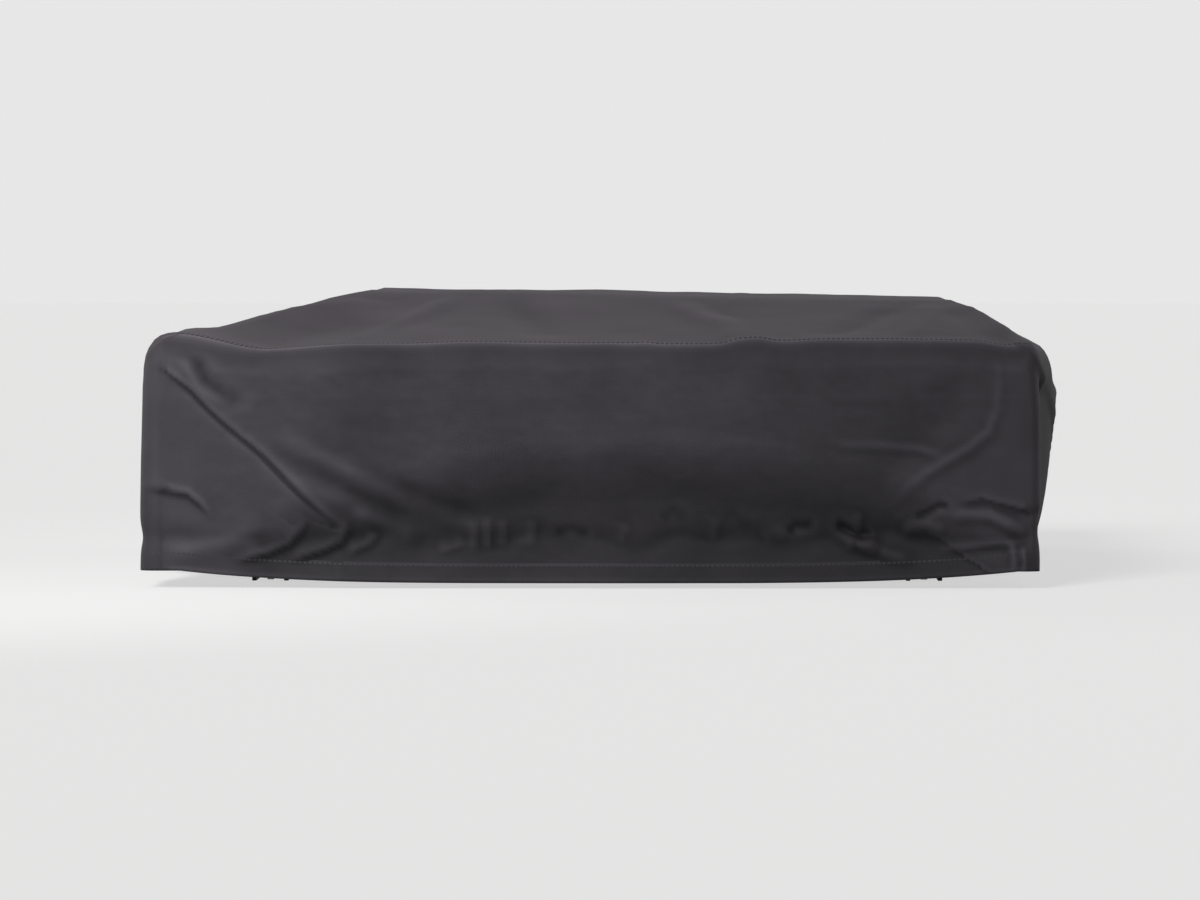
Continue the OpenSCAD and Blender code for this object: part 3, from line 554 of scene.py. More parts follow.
def lineDistance(points, line):
    # distance to a line of points, signed by its left side, and how far along it the nearest place is
    line = np.array(line, float)
    best = np.full(len(points), 1e9)
    sign = np.ones(len(points))
    share = np.zeros(len(points))
    steps = np.linalg.norm(np.diff(line, axis=0), axis=1)
    starts = np.concatenate([[0], np.cumsum(steps)])
    for i in range(len(line) - 1):
        way = line[i + 1] - line[i]
        t = np.clip(((points - line[i]) @ way) / (way @ way), 0, 1)
        off = points - (line[i] + t[:, None] * way)
        far = np.linalg.norm(off, axis=1)
        near = far < best
        best[near] = far[near]
        sign[near] = np.sign(way[0] * off[near, 1] - way[1] * off[near, 0])
        share[near] = (starts[i] + t[near] * steps[i]) / starts[-1]
    return best, sign, share


def foldHeight(folds, along, height):
    # the lines are bent a little by slow noise, and each fold swells and fades along its length
    drift = np.array([noise.noise_vector(Vector((x * 9, z * 9, 1.7))) for x, z in zip(along, height)])
    points = np.stack([along + 0.007 * drift[:, 0], height + 0.007 * drift[:, 1]], axis=1)
    swell = 1 + 0.45 * drift[:, 2]
    out = np.zeros(len(points))
    for kind, line, rise, width in folds:
        far, sign, share = lineDistance(points, line)
        ends = easeStep(np.minimum(share, 1 - share), 0.0, 0.26) * np.exp(-(far / (4 * width)) ** 2)
        left = sign * far
        if kind == "facet":
            lift = rise * (1 - np.exp(-far / width)) * np.exp(-(far / (3.4 * width)) ** 4)
            out += lift * easeStep(-left, -0.004, 0.012) * easeStep(share, 0.0, 0.2)
        elif kind == "lap":
            step = 0.5 + 0.5 * np.tanh(left / 0.0035)
            out += rise * swell * step * np.exp(-np.maximum(left, 0) / width) * easeStep(
                np.minimum(share, 1 - share), 0.0, 0.30)
        elif kind == "crease":
            out += rise * np.exp(-far / width) * (0.2 + 0.8 * ends)
        else:
            out += rise * swell * np.exp(-(far / width) ** 2) * ends
    return out


def slackAt(points, size, seed):
    # slow uneven slack, as cloth that was folded away has
    return np.array([noise.fractal(Vector(p) / size + Vector((seed, 0, 0)), 1.0, 2.1, 3) for p in points])


def coverRing():
    # places round the cover: side, share of the side, turn of the corner
    cut = coverCut
    ring = []
    for side in range(4):
        count = cut["alongX"] if side % 2 == 0 else cut["alongY"]
        ring += [(side, i / count, 0.0) for i in range(count)]
        ring += [(side, 1.0, i / cut["arc"]) for i in range(cut["arc"])]
    return ring


def crowded(share):
    # shares of a side, closer together towards its ends, where the folds are
    return (1 + np.sin((2 * share - 1) * coverCut["crowd"]) / math.sin(coverCut["crowd"])) / 2


def hemHeight(side, along):
    cut = coverCut
    half = cut["halfWidth"] - 0.04
    low = cut["hemCorner"] + (cut["hemLow"] - cut["hemCorner"]) * (1 - np.minimum(1, (along / half) ** 4))
    arch = (np.exp(-((along - cut["barAt"]) / cut["archHalf"]) ** 4)
            + np.exp(-((along + cut["barAt"]) / cut["archHalf"]) ** 4))
    return np.where(side % 2 == 0, low, cut["hemCorner"] + (cut["hemArch"] - cut["hemCorner"]) * arch)


def skirtLean(side, z):
    # how far the skirt stands off its wall: the +X one bulges and leans in below, the -X one flares out,
    # and the ends hang nearly straight
    leaning = np.interp(z, [0.0, 0.040, 0.077, 0.110, 0.147, 0.180, 0.210, 0.236, 0.300],
                        [-0.010, -0.0055, -0.0005, 0.0055, 0.0100, 0.0125, 0.0140, 0.0146, 0.0125])
    hanging = np.interp(z, [0.0, 0.061, 0.150, 0.230, 0.300], [0.004, 0.003, 0.003, 0.004, 0.001])
    flaring = np.interp(z, [0.0, 0.061, 0.150, 0.230, 0.300], [0.0088, 0.0080, 0.0066, 0.0044, 0.003])
    return np.where(side == 1, leaning, np.where(side == 3, flaring, hanging))


def skirtHollow(along, z):
    # the end skirts are drawn in between their corners, below an arched line, and flare out again at the hem
    top = 0.172 - 0.45 * (along - 0.05) ** 2
    drawn = easeStep(top - z, -0.015, 0.070) * (1 - 0.30 * easeStep(0.050 - z, 0.0, 0.050))
    return coverCut["hollow"] * drawn * easeStep(0.510 - np.abs(along), 0.0, 0.140)


def crownSag(x, y):
    # the cloth dips a little between the ladder's steps, and more between its two stiles beyond them
    low, high = coverCut["crownLow"], coverCut["crownHigh"]
    across = math.exp(-(y / 0.115) ** 4)
    rim = float(easeStep(min(x - low[0], high[0] - x), 0.0, 0.05) * easeStep(high[1] - abs(y), 0.0, 0.04))
    steps = 0.5 - 0.5 * math.cos((x - 0.400) / 0.055 * 2 * math.pi)
    onSteps = float(easeStep(x, 0.030, 0.070))
    return rim * (onSteps * (0.0011 * steps + 0.0006 * across) + (1 - onSteps) * 0.0060 * across)


def creaseDepth(points, faces):
    # how far each point lies under its neighbours, over their distance: above 0 in a fold, below 0 on a ridge
    mesh = bpy.data.meshes.new("measure")
    mesh.from_pydata([tuple(p) for p in points], [], faces)
    edges = np.empty(len(mesh.edges) * 2, dtype=np.int32)
    mesh.edges.foreach_get("vertices", edges)
    normals = np.empty(len(points) * 3, dtype=np.float32)
    mesh.vertex_normals.foreach_get("vector", normals)
    bpy.data.meshes.remove(mesh)
    edges, normals = edges.reshape(-1, 2), normals.reshape(-1, 3)
    count = np.bincount(edges.ravel(), minlength=len(points)).clip(1)

    def around(values):
        total = np.zeros_like(values)
        np.add.at(total, edges[:, 0], values[edges[:, 1]])
        np.add.at(total, edges[:, 1], values[edges[:, 0]])
        return total / (count[:, None] if values.ndim > 1 else count)

    length = np.linalg.norm(points[edges[:, 0]] - points[edges[:, 1]], axis=1)
    mean = sum(np.bincount(edges[:, end], length, len(points)) for end in (0, 1)) / count
    depth = ((around(points) - points) * normals).sum(axis=1) / mean
    return 0.5 * depth + 0.5 * around(depth)


def crownGrid(ring):
    # a grid over the ladder, and the place on its border that each place of the ring starts from
    cut = coverCut
    nx, ny = cut["alongX"], cut["alongY"]
    low, high = np.array(cut["crownLow"]), np.array(cut["crownHigh"])
    gridX = low[0] + (high[0] - low[0]) * crowded(np.arange(nx + 1) / nx)
    gridY = low[1] + (high[1] - low[1]) * crowded(np.arange(ny + 1) / ny)
    maps = [(x, y) for y in gridY for x in gridX]
    points = []
    for x, y in maps:
        fallen = cut["crownDrop"] * (x - low[0]) / (high[0] - low[0])
        points.append((x, y, cut["crown"] - fallen - crownSag(x, y)))
    border = []
    for s, t, _ in ring:
        i = {0: round(t * nx), 1: nx, 2: nx - round(t * nx), 3: 0}[s]
        j = {0: 0, 1: round(t * ny), 2: ny, 3: ny - round(t * ny)}[s]
        border.append(j * (nx + 1) + i)
    return points, maps, border


def skirtFold(side, blended, half, along, z):
    # the folds of each skirt, which go over into the next one's round the corner
    out = np.zeros(len(side))
    for s in range(4):
        here = side == s
        value = foldHeight(skirtFolds[s], along[here], z[here])
        value *= easeStep(half[here] - np.abs(along[here]), 0.010, 0.090) if s % 2 else 1.0
        onCorner = here & (blended > 0)
        start = along[side == (s + 1) % 4][0]
        other = np.zeros(len(side))
        other[onCorner] = foldHeight(skirtFolds[(s + 1) % 4], np.full(onCorner.sum(), start), z[onCorner])
        out[here] = value * (1 - blended[here]) + other[here] * blended[here]
    return out


def slacken(points):
    # slow slack, none at the corners, folds on the top, and puckers with a ripple on the front upper edge
    cut = coverCut
    slack = slackAt(points, cut["slack"][0], 3.0) * cut["slack"][1]
    slack += slackAt(points * np.array([1, 1, 1.8]), cut["fineSlack"][0], 9.0) * cut["fineSlack"][1]
    skirt = easeStep(cut["edge"] - points[:, 2], -0.004, 0.03)
    sideRoom, endRoom = cut["halfWidth"] - np.abs(points[:, 0]), cut["halfLength"] - np.abs(points[:, 1])
    calm = easeStep(np.maximum(sideRoom, endRoom), 0.03, 0.12)
    nearSide = sideRoom < endRoom
    points[:, 0] += np.where(nearSide, np.sign(points[:, 0]) * slack * skirt * calm, 0)
    points[:, 1] += np.where(~nearSide, np.sign(points[:, 1]) * slack * skirt * calm, 0)
    points[:, 2] += np.maximum(slack, -0.003) * (1 - skirt) * 0.8 * calm
    onTop = points[:, 2] > cut["edge"] - 0.006
    inside = easeStep(np.minimum(sideRoom, endRoom), 0.004, 0.050)[onTop]
    points[onTop, 2] += foldHeight(frontTopFolds + rearTopFolds, points[onTop, 0], points[onTop, 1]) * inside
    behindEdge = points[:, 1] + cut["halfLength"] - 0.008
    raised = (points[:, 2] > 0.255) * np.exp(-(behindEdge / 0.018) ** 2)
    x = points[:, 0]
    for rise, at, wide, steep in cut["puckers"]:
        points[:, 2] += rise * raised * np.exp(-((x - at) / wide) ** steep)
    points[:, 2] += cut["ripple"] * raised * np.sin(x * 23 + 1.3 * np.sin(x * 9))


def makeCover():
    cut = coverCut
    ring = coverRing()
    count = len(ring)
    side = np.array([r[0] for r in ring])
    share = crowded(np.array([r[1] for r in ring]))
    mixed = np.array([r[2] for r in ring])
    turn = mixed * math.pi / 2
    blended = easeStep(mixed, 0, 1)
    spin = side * math.pi / 2
    following, leading = (side + 1) % 4, (side - 1) % 4
    half = np.where(side % 2 == 0, cut["halfWidth"], cut["halfLength"])
    deep = np.where(side % 2 == 0, cut["halfLength"], cut["halfWidth"])

    def place(offset, corners):
        # plan points at an offset out of the straight walls, with the radius of each corner
        corners = np.array(corners)
        here = corners[side]
        first = -half + corners[leading]
        along = first + (half - here - first) * share
        x = along + (here + offset) * np.sin(turn)
        y = -(deep - here) - (here + offset) * np.cos(turn)
        spun = [x * np.cos(spin) - y * np.sin(spin), x * np.sin(spin) + y * np.cos(spin)]
        return np.stack(spun, axis=1), along

    def bySide(values):
        values = np.array(values)
        return values[side] * (1 - mixed) + values[following] * mixed

    upper = cut["upperCorners"]
    walls, along = place(np.zeros(count), upper)
    steps = np.linalg.norm(np.diff(np.vstack([walls, walls[:1]]), axis=0), axis=1)
    girth = np.concatenate([[0], np.cumsum(steps)[:-1]])
    rounding = bySide([cut["crispRound"], cut["softRound"], cut["crispRound"], cut["softRound"]])
    fromFront = easeStep(along + half, *cut["tuckReach"])
    tucked = np.where(side == 1, 1 - fromFront, np.where(side == 0, blended, 0))
    wallOut = bySide(cut["wallOut"]) - cut["tuckAtEdge"] * cut["cornerTuck"] * tucked
    wallX = walls[:, 0]
    hingeRise = easeStep(-wallX, 0.40, 0.52) * (1 - 0.6 * easeStep(walls[:, 1], -0.4, 0.5))
    edge = (cut["edge"] + cut["hingeRise"] * hingeRise + cut["middleRise"] * easeStep(wallX, -0.45, -0.25)
            + cut["rightRise"] * easeStep(wallX, 0.10, 0.36) - cut["cornerDrop"] * easeStep(wallX, 0.45, 0.50)
            + cut["ladderRise"] * easeStep(wallX, 0.498, 0.536))

    points, maps, border = crownGrid(ring)
    seams = [cut["noSeam"]] * len(points)
    # per point: painted shade above 0, painted highlight below 0
    paintedShadeAndHighlightByPoint = [0.0] * len(points)
    crown = np.array([points[b] for b in border])

    # rings down the slopes, round the edge, down the skirts and up the turned hem
    rings = []
    noSeam = np.full(count, cut["noSeam"])
    firstTurn = bySide(cut["edgeTurn"])                # the slope runs into the round edge at its own angle
    edgeTop = np.column_stack([place(wallOut - rounding * (1 - np.sin(firstTurn)), cut["edgeCorners"])[0],
                               edge - rounding * (1 - np.cos(firstTurn))])
    reach = np.linalg.norm((edgeTop - crown)[:, :2], axis=1)
    fromHip = easeStep(half - np.abs(along), 0.0, 0.22) * (mixed == 0)
    bulge = np.array(cut["slopeSlack"])[side] * fromHip      # none along the hips
    dip = cut["slopeDip"] * easeStep(-wallX, 0.22, 0.53)     # the slopes flatten out towards the -X edge
    for k in range(1, cut["slopeRings"] + 1):
        s = k / cut["slopeRings"]
        p = crown + (edgeTop - crown) * s
        p[:, 2] += bulge * 4 * s * (1 - s) - dip * 6.75 * s * s * (1 - s)     # each 1 at its highest
        rings.append((p, -(1 - s) * reach - rounding * 1.57, noSeam, np.zeros(count)))
    for k in range(1, cut["roundRings"] + 1):
        s = k / cut["roundRings"]
        a = firstTurn + (math.pi / 2 - firstTurn) * s
        corners = np.array(upper) * s + np.array(cut["edgeCorners"]) * (1 - s)
        rise = cut["seamRise"] * np.exp(-((a - cut["seamTurn"]) / 0.35) ** 2)
        p = np.column_stack([place(wallOut + (rounding + rise) * np.sin(a) - rounding, corners)[0],
                             edge - rounding + (rounding + rise) * np.cos(a)])
        passed = rounding * (a - math.pi / 2)
        # a painted highlight along the crisp front and rear edges
        paintedEdgeHighlight = -cut["edgeHighlight"] * np.exp(-((a - cut["seamTurn"]) / 0.40) ** 2) * (rounding < 0.02)
        rings.append((p, passed, passed + rounding * 0.9, paintedEdgeHighlight))
    top = edge - rounding
    hem = hemHeight(side, along) * (1 - mixed) + hemHeight(following, -half) * mixed
    for k in range(1, cut["skirtRings"] + 1):
        down = k / cut["skirtRings"]
        z = top + (hem - top) * down
        sharp = float(easeStep(down, 0.0, 0.35))
        corners = np.array(cut["lowerCorners"]) * sharp + np.array(upper) * (1 - sharp)
        _, along = place(np.zeros(count), corners)
        out = skirtFold(side, blended, half, along, z)
        hung = easeStep(top - z, 0.0, 0.025)
        hollow = np.where((side % 2 == 0) & (mixed == 0), skirtHollow(along, z), 0)
        out -= hollow
        drawn = cut["drawLine"] + 0.005 * np.sin(girth * 31) + 0.004 * np.sin(girth * 73 + 1)
        out -= cut["drawDeep"] * np.exp(-((z - drawn) / 0.014) ** 2)
        out -= cut["drawUnder"] * easeStep(drawn - z, -0.010, 0.010)
        lean = skirtLean(side, z) * (1 - blended) + skirtLean(following, z) * blended
        lean -= (skirtLean(1, z) + cut["cornerTuck"]) * tucked
        p = np.column_stack([place(out * hung + lean + (wallOut - lean) * (1 - hung), corners)[0], z])
        # painted shade where the end skirts are drawn in, and low on the side skirts
        paintedShadeAndHighlight = hollow / cut["hollow"] + 0.4 * (side % 2) * easeStep(0.14 - z, 0.0, 0.1)
        rings.append((p, top - z, z - hem - cut["hemSeam"], paintedShadeAndHighlight))
    inner = rings[-1][0].copy()
    inner[:, :2] += place(np.full(count, -cut["cloth"]), upper)[0] - walls
    rings.append((inner, rings[-1][1] + 0.003, noSeam, paintedShadeAndHighlight))
    turnedUp = inner.copy()
    turnedUp[:, 2] += cut["hemTurn"]
    rings.append((turnedUp, rings[-1][1] + cut["hemTurn"], noSeam, paintedShadeAndHighlight))

    faces = gridFaces(cut["alongY"] + 1, cut["alongX"] + 1)
    before = np.array(border)
    for p, v, away, paintedShadeAndHighlightHere in rings:
        after = len(points) + np.arange(count)
        points += [tuple(q) for q in p]
        maps += list(zip(girth, -v))
        seams += list(away)
        paintedShadeAndHighlightByPoint += list(paintedShadeAndHighlightHere)
        for i in range(count):
            j = (i + 1) % count
            face = [int(before[i]), int(after[i]), int(after[j]), int(before[j])]
            faces.append(tuple(face) if face[0] != face[3] else tuple(face[:3]))
        before = after
    points = np.array(points)
    slacken(points)

    piece = meshPiece("travelCover", points, faces, coverCloth)
    writeUv(piece, "cloth", maps)
    writeValue(piece, "seamAway", seams)
    writeValue(piece, "paintedShadeAndHighlight", paintedShadeAndHighlightByPoint)
    # the crease depth drives painted shade in the folds and a painted highlight on the ridges
    crease = np.clip(creaseDepth(points, faces) / cut["creaseFull"], -1, 1)
    nearCorner = np.max([np.roll(mixed > 0, k) for k in range(-4, 5)], axis=0)
    ridgeHighlightKept = np.ones(len(points))                                       # the corners get no painted ridge highlight
    ridgeHighlightKept[-count * len(rings):] = np.tile(1 - cut["cornerHighlightCut"] * nearCorner, len(rings))
    writeValue(piece, "crease", np.where(crease < 0, crease * ridgeHighlightKept, crease))
    return piece


cover = makeCover()
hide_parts("travel_cover")
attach(cover, "cover")
print("stage: cover", len(cover.data.polygons), "faces")

# Cover tabs and tie-down straps: flat webbing, folded over and sewn down where it is fixed

strapCut = {"thick": 0.0014, "width": 0.025, "at": 0.300, "face": 0.5118, "wave": 0.0006}
# run of a strap, points on it, its wave, and the run of its end, doubled back and sewn down
strapRuns = {"lower": ((0.081, 0.1395), 14, 0.7, (0.084, 0.108)),
             "upper": ((0.2005, 0.272), 16, 0.6, (0.244, 0.269))}
tabCut = {"height": 0.0925, "sideAt": (-0.400, 0.0, 0.400), "endAt": (-0.240, 0.020, 0.280),
          "side": (0.5118, 0.5330), "end": (0.5905, 0.5950), "width": 0.025, "thick": 0.0019, "wave": 0.0004}


def webbing(name, path, across, width, thick):
    # a band swept along a path: eight rows of points with softly rounded edges, closed at both ends
    path = [Vector(p) for p in path]
    across = Vector(across).normalized()
    shape = [(-1.0, 0.3), (-0.92, 1.0), (0.92, 1.0), (1.0, 0.3),
             (1.0, -0.3), (0.92, -1.0), (-0.92, -1.0), (-1.0, -0.3)]
    points, maps, faces, run = [], [], [], 0.0
    for i, p in enumerate(path):
        way = (path[min(i + 1, len(path) - 1)] - path[max(i - 1, 0)]).normalized()
        up = way.cross(across).normalized()
        run += (p - path[i - 1]).length if i else 0.0
        for s, t in shape:
            points.append(p + across * s * width / 2 + up * t * thick / 2)
            maps.append((s * width / 2, run))
    n = len(shape)
    for i in range(len(path) - 1):
        faces += [(i * n + j, i * n + (j + 1) % n, (i + 1) * n + (j + 1) % n, (i + 1) * n + j)
                  for j in range(n)]
    faces.append(tuple(range(n - 1, -1, -1)))
    faces.append(tuple(range((len(path) - 1) * n, len(path) * n)))
    piece = meshPiece(name, points, faces, webbingCloth)
    writeUv(piece, "cloth", maps)
    editAll(piece, bpy.ops.mesh.normals_make_consistent, inside=False)
    smooth(piece)
    return piece


def joinPieces(name, parts):
    deselectAll()
    for part in parts:
        part.select_set(True)
    bpy.context.view_layer.objects.active = parts[0]
    if len(parts) > 1:
        bpy.ops.object.join()
    piece = bpy.context.view_layer.objects.active
    piece.name = name
    piece.data.name = name
    return piece


def makeStraps(name, run, count, wave, sewnRun):
    cut = strapCut
    straps = []
    for y in (-cut["at"], cut["at"]):
        path = [(cut["face"] + cut["wave"] * math.sin(i * wave), y, z)
                for i, z in enumerate(np.linspace(*run, count))]
        straps.append(webbing("strap", path, (0, 1, 0), cut["width"], cut["thick"]))
        path = [(cut["face"] + cut["thick"], y, z) for z in np.linspace(*sewnRun, 5)]
        straps.append(webbing("strapEnd", path, (0, 1, 0), cut["width"], cut["thick"]))
    return joinPieces(name, straps)


def makeTabs():
    cut = tabCut
    paths = [([(x, y) for x in np.linspace(*cut["side"], 8)], (0, 1, 0)) for y in cut["sideAt"]]
    paths += [([(x, way * y) for y in np.linspace(*cut["end"], 8)], (1, 0, 0))
              for x in cut["endAt"] for way in (-1, 1)]
    tabs = []
    for plan, across in paths:
        path = [(x, y, cut["height"] - cut["wave"] * math.sin(i)) for i, (x, y) in enumerate(plan)]
        tabs.append(webbing("tab", path, across, cut["width"], cut["thick"]))
    return joinPieces("coverTabs", tabs)


lowerStraps = makeStraps("lowerStraps", *strapRuns["lower"])
upperStraps = makeStraps("upperStraps", *strapRuns["upper"])
coverTabs = makeTabs()
for piece, node, body in ((lowerStraps, "lower_straps", "base"),
                          (upperStraps, "upper_straps", "folding_half"),
                          (coverTabs, "cover_tabs", "cover")):
    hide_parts(node)
    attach(piece, body)
for piece in (cover, coverTabs):
    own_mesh(piece)


# Mattress halves: foam pads in a knitted cover, crowned, with piping round both edges and a quilted face

padCut = {"low": (-0.490, -0.482), "high": (0.438, 0.482), "corner": 0.040, "crown": 0.004, "sink": 0.006,
          "drawIn": 0.007, "piping": 0.0035, "quilt": 0.115, "quiltDeep": 0.0022, "cuts": 96}


def makePad(name, bottom, top, facesUp):
    cut = padCut
    n = cut["cuts"]
    middle = (np.array(cut["low"]) + np.array(cut["high"])) / 2
    half = (np.array(cut["high"]) - np.array(cut["low"])) / 2 - cut["piping"]
    u, v = np.meshgrid(np.linspace(-1, 1, n + 1), np.linspace(-1, 1, n + 1))
    plan = np.stack([u.ravel() * half[0], v.ravel() * half[1]], axis=1)
    out = np.maximum(np.abs(plan) - (half - cut["corner"]), 0) / cut["corner"]
    both = (out[:, 0] > 0) & (out[:, 1] > 0)
    bent = out * np.sqrt(1 - out[:, ::-1] ** 2 / 2)
    plan[both] = np.sign(plan[both]) * (half - cut["corner"] + bent[both] * cut["corner"])
    edge = np.minimum(half[0] - np.abs(plan[:, 0]), half[1] - np.abs(plan[:, 1]))
    soft = 1 - np.exp(-edge / 0.05)
    a = (plan[:, 0] + plan[:, 1]) / cut["quilt"] * math.pi
    b = (plan[:, 0] - plan[:, 1]) / cut["quilt"] * math.pi
    sewn = np.exp(-(np.sin(a) * 5) ** 2) + np.exp(-(np.sin(b) * 5) ** 2)
    face = -cut["sink"] * (1 - soft) + cut["crown"] * (soft - 1) - cut["quiltDeep"] * np.minimum(sewn, 1.0)
    plain = -cut["sink"] * (1 - soft)
    upper, lower = (face, plain) if facesUp else (plain, face)
    rows = [np.column_stack([plan + middle, top + upper]), np.column_stack([plan + middle, bottom - lower])]
    count = (n + 1) ** 2
    faces = []
    for a, b, c, d in gridFaces(n + 1, n + 1):
        faces.append((a, b, c, d))
        faces.append((count + a, count + d, count + c, count + b))
    rim = (list(range(n)) + [j * (n + 1) + n for j in range(n)]
           + [n * (n + 1) + n - i for i in range(n)] + [(n - j) * (n + 1) for j in range(n)])
    base = plan[rim]
    away = np.roll(base, -1, axis=0) - np.roll(base, 1, axis=0)
    away = np.stack([away[:, 1], -away[:, 0]], axis=1) / np.linalg.norm(away, axis=1)[:, None]
    straight = 1 - np.clip(np.abs(base) / half, 0, 1).min(axis=1) ** 2
    levels = [(0.97, 0.6), (0.93, 1.0), (0.87, 0.2), (0.75, -0.5), (0.5, -1.0), (0.25, -0.5), (0.13, 0.2),
              (0.07, 1.0), (0.03, 0.6)]
    loops = [np.array(rim)]
    for share, bulge in levels:
        offset = np.where(bulge > 0, bulge * cut["piping"], bulge * cut["drawIn"] * straight)
        z = bottom + cut["sink"] + (top - bottom - 2 * cut["sink"]) * share
        rows.append(np.column_stack([base + middle + away * offset[:, None], np.full(len(rim), z)]))
        loops.append(2 * count + (len(loops) - 1) * len(rim) + np.arange(len(rim)))
    loops.append(np.array(rim) + count)
    for before, after in zip(loops[:-1], loops[1:]):
        for i in range(len(rim)):
            j = (i + 1) % len(rim)
            faces.append((int(before[j]), int(before[i]), int(after[i]), int(after[j])))
    points = np.vstack(rows)
    piece = meshPiece(name, points, faces, mattressCloth)
    writeUv(piece, "cloth", np.column_stack([points[:, 0] + points[:, 2], points[:, 1] + points[:, 2]]))
    return piece


halves = [("fixedMattress", "fixed_mattress", "base", 0.1005, 0.1455, True),
          ("foldingMattress", "folding_mattress", "folding_half", 0.2085, 0.2535, False)]
for name, node, body, bottom, top, facesUp in halves:
    pad = makePad(name, bottom, top, facesUp)
    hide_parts(node)
    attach(pad, body)
print("stage: mattress halves")


# Tent canopy: one sheet over the hoops, set out as it stands when the tent is open, and folded down into its
# rest place

tentCut = {
    "hinge": (-0.514, 0.177), "open": math.radians(179.8), "foldLow": 0.0992, "foldHigh": 0.2548,
    "supports": [(-4.3, 1.006), (45.0, 0.993), (90.0, 0.993), (135.0, 0.993), (184.1, 1.006)],
    "wall": 0.577, "inner": 0.075, "corner": 0.030, "rows": 156, "radial": 18, "arc": 5, "across": 30,
    "sleeve": 0.005, "sag": 0.012, "windowRim": 0.025, "rimLift": 0.006, "windowLift": 0.008,
    "mapRadius": 0.95,
}
# two angles in degrees, then two places across the vault, or two radii and the side of an end wall
windows = [("entryWindow", 6, 38, -0.34, 0.34, 0), ("farWindow", 142, 174, -0.34, 0.34, 0),
           ("frontWindow", 62, 118, 0.40, 0.78, -1), ("rearWindow", 62, 118, 0.40, 0.78, 1)]


def tentRadius(angle):
    # straight cloth from one hoop to the next, slightly hollow, and a sleeve over each hoop
    cut = tentCut
    angle = np.asarray(angle, float)
    radius = np.full(angle.shape, cut["supports"][0][1])
    for (a, ra), (b, rb) in zip(cut["supports"][:-1], cut["supports"][1:]):
        a, b = math.radians(a), math.radians(b)
        p = np.array([ra * math.cos(a), ra * math.sin(a)])
        q = np.array([rb * math.cos(b), rb * math.sin(b)])
        normal = np.array([q[1] - p[1], p[0] - q[0]]) / np.linalg.norm(q - p)
        t = np.clip((angle - a) / (b - a), 0, 1)
        chord = (normal @ p) / (normal[0] * np.cos(angle) + normal[1] * np.sin(angle))
        here = (angle >= a - 1e-6) & (angle <= b + 1e-6)
        radius = np.where(here, chord - cut["sag"] * np.sin(math.pi * t), radius)
    for a, _ in cut["supports"][1:-1]:
        radius = radius + cut["sleeve"] * np.exp(-((angle - math.radians(a)) / 0.022) ** 4)
    return radius


def foldDown(radius, angle, across):
    # rest place of a point of the open tent: the angle at rest from which the bending brings it there
    cut = tentCut
    radius, angle, across = (np.asarray(v, float) for v in (radius, angle, across))
    low = np.full(angle.shape, -math.pi / 2)
    high = np.full(angle.shape, math.pi / 2)
    for _ in range(50):
        mid = (low + high) / 2
        z = cut["hinge"][1] + radius * np.sin(mid)
        turned = mid + cut["open"] * easeStep(z, cut["foldLow"], cut["foldHigh"])
        low = np.where(turned < angle, mid, low)
        high = np.where(turned < angle, high, mid)
    mid = (low + high) / 2
    x = cut["hinge"][0] + radius * np.cos(mid)
    return np.stack([x, across, cut["hinge"][1] + radius * np.sin(mid)], axis=-1)


def sheetFrom(name, radius, angle, across, maps, material):
    # a grid of open-tent points, folded down to rest
    points = foldDown(radius, angle, across).reshape(-1, 3)
    piece = meshPiece(name, points, gridFaces(*radius.shape), material)
    writeUv(piece, "cloth", maps.reshape(-1, 2))
    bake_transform(piece)
    return piece


def makeCanopy():
    cut = tentCut
    first, last = math.radians(cut["supports"][0][0]), math.radians(cut["supports"][-1][0])
    angle = np.linspace(first, last, cut["rows"])
    outer = tentRadius(angle)
    turn = np.linspace(0, math.pi / 2, cut["arc"] + 1)
    radius, across, girth = [], [], []
    for r in outer:
        legs = np.linspace(cut["inner"], r - cut["corner"], cut["radial"])
        bend = r - cut["corner"] + cut["corner"] * np.sin(turn[1:])
        bendY = cut["wall"] - cut["corner"] + cut["corner"] * np.cos(turn[1:])
        flat = np.linspace(-cut["wall"] + cut["corner"], cut["wall"] - cut["corner"], cut["across"])[1:-1]
        rr = np.concatenate([legs, bend, np.full(len(flat), r), bend[::-1], legs[::-1]])
        wall = np.full(len(legs), cut["wall"])
        yy = np.concatenate([-wall, -bendY, flat, bendY[::-1], wall])
        radius.append(rr)
        across.append(yy)
        girth.append(np.concatenate([[0], np.cumsum(np.hypot(np.diff(rr), np.diff(yy)))]))
    radius, across, girth = np.array(radius), np.array(across), np.array(girth)
    turned = np.repeat(angle[:, None], radius.shape[1], axis=1)
    # slack: end walls billow a little, and wrinkles run in from the hoops' corners
    wave = np.array([noise.fractal(Vector((g * 3, t * 2.5, 4.0)), 1.0, 2.0, 3)
                     for g, t in zip(girth.ravel(), turned.ravel())]).reshape(radius.shape)
    inWall = np.abs(across) > cut["wall"] - 0.002
    across = across - np.where(inWall, np.sign(across) * (0.004 + 0.008 * np.abs(wave)), 0)
    radius = radius + np.where(inWall, 0, 0.004 * wave)
    maps = np.stack([girth, turned * cut["mapRadius"]], axis=-1)
    return sheetFrom("tentCanopy", radius, turned, across, maps, canopyCloth)


def tentPatch(name, low, high, left, right, lift, material, wallSide=0):
    # a window or a binding, sewn on
    angles = np.linspace(math.radians(low), math.radians(high), 40)
    a, s = np.meshgrid(angles, np.linspace(left, right, 26), indexing="ij")
    if wallSide:
        radius, across = s, np.full(s.shape, wallSide * (tentCut["wall"] + lift))
    else:
        radius, across = tentRadius(a) + lift, s
    return sheetFrom(name, radius, a, across, np.stack([s, a * tentCut["mapRadius"]], axis=-1), material)


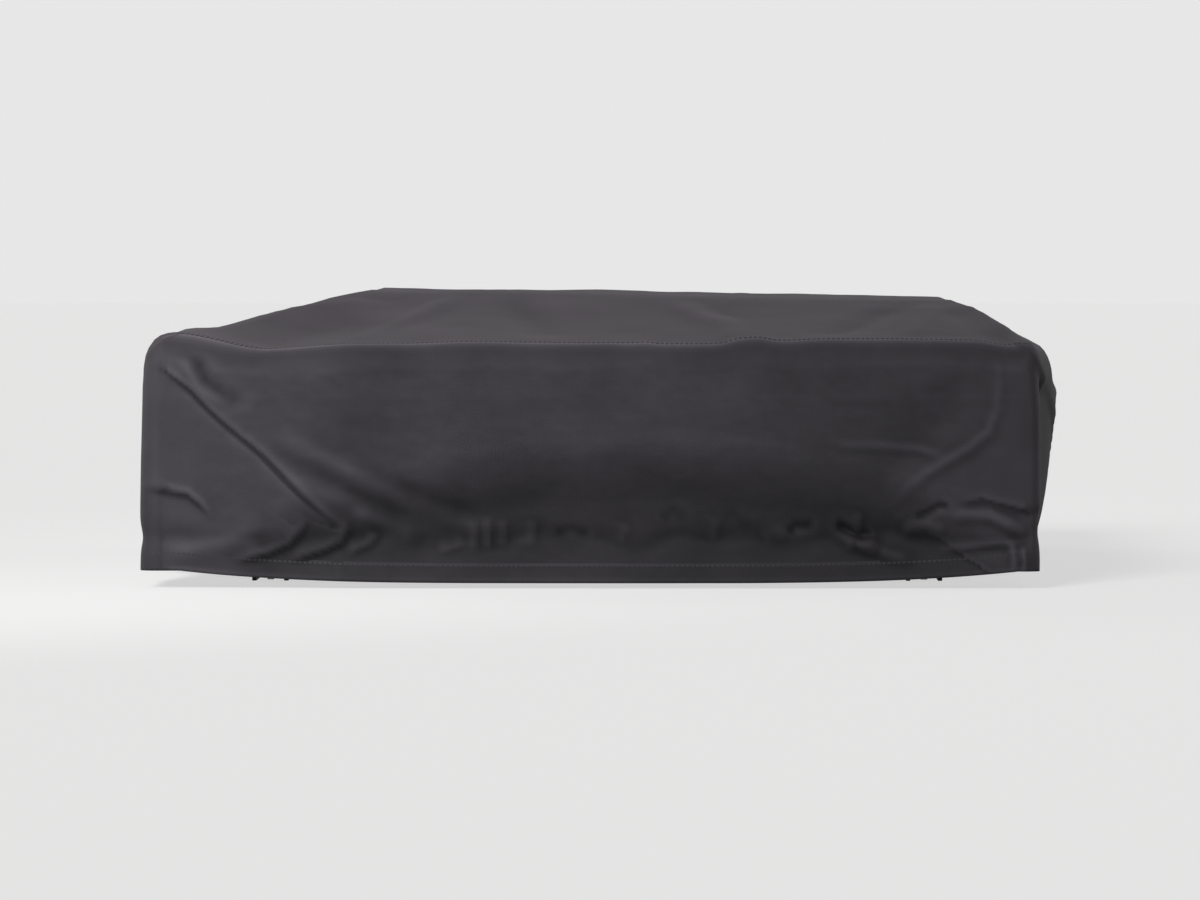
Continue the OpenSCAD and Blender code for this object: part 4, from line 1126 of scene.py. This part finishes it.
canopy = makeCanopy()
rim = tentCut["windowRim"]
turnRim = math.degrees(rim / 0.9)
for name, low, high, left, right, wallSide in windows:
    tentPatch(name + "Binding", low - turnRim, high + turnRim, left - rim, right + rim,
                             tentCut["rimLift"], bindingCloth, wallSide)
    tentPatch(name, low, high, left, right, tentCut["windowLift"], windowNet, wallSide)
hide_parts("canopy")


# Ladder steps: moulded collars on the two stiles and a ribbed tread between them

stepCut = {"first": 0.400, "pitch": 0.055, "stile": 0.180, "height": 0.309,
           "collar": (0.048, 0.060, 0.062), "collarRound": 0.007, "tread": (0.044, 0.302, 0.030),
           "treadRound": 0.006, "bore": 0.0143, "boreStep": 0.0018, "ribs": 5, "ribPitch": 0.0062,
           "rib": (0.0030, 0.222, 0.0022), "ribRound": 0.0005, "button": 0.0075, "buttonAt": 0.137,
           "buttonTall": 0.006, "buttonRound": 0.0012}


def bevelAll(piece, radius, segments):
    pick(piece)
    bpy.ops.object.transform_apply(location=True, rotation=True, scale=True)
    editAll(piece, bpy.ops.mesh.bevel, offset=radius, segments=segments, affect="EDGES")
    return piece


def roundedBlock(size, place, radius, segments=3):
    deselectAll()
    bpy.ops.mesh.primitive_cube_add(size=1.0, location=place)
    block = bpy.context.active_object
    block.scale = size
    return bevelAll(block, radius, segments)


def makeStep(k):
    cut = stepCut
    x = cut["first"] - (k - 1) * cut["pitch"]
    face = cut["tread"][2] / 2
    parts = []
    for way in (-1, 1):
        centre = (x, way * cut["stile"], cut["height"])
        collar = roundedBlock(cut["collar"], centre, cut["collarRound"])
        deselectAll()
        bpy.ops.mesh.primitive_cylinder_add(vertices=64, radius=cut["bore"] + (k - 1) * cut["boreStep"],
                                            depth=0.2, location=centre, rotation=(0, math.pi / 2, 0))
        cutter = bpy.context.active_object
        applyModifier(collar, "BOOLEAN", operation="DIFFERENCE", solver="EXACT", object=cutter)
        bpy.data.objects.remove(cutter)
        parts.append(collar)
    parts.append(roundedBlock(cut["tread"], (x, 0, cut["height"]), cut["treadRound"]))
    for side in (-1, 1):                                     # ribs on both broad faces of the tread
        for i in range(cut["ribs"]):
            ribX = x + (i - (cut["ribs"] - 1) / 2) * cut["ribPitch"]
            parts.append(roundedBlock(cut["rib"], (ribX, 0, cut["height"] + side * face), cut["ribRound"], 2))
    for way in (-1, 1):                                      # release buttons beside the collars
        deselectAll()
        bpy.ops.mesh.primitive_cylinder_add(vertices=28, radius=cut["button"], depth=cut["buttonTall"],
                                            location=(x, way * cut["buttonAt"], cut["height"] + face))
        parts.append(bevelAll(bpy.context.active_object, cut["buttonRound"], 2))
    step = joinPieces(f"ladderStep{k}", parts)
    step.data.materials.clear()
    step.data.materials.append(mouldedNylon)
    smooth(step, 32)
    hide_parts(f"ladder_step_{k}")
    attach(step, f"ladder_{k}")


for k in rungs:
    makeStep(k)
print("stage: ladder steps")
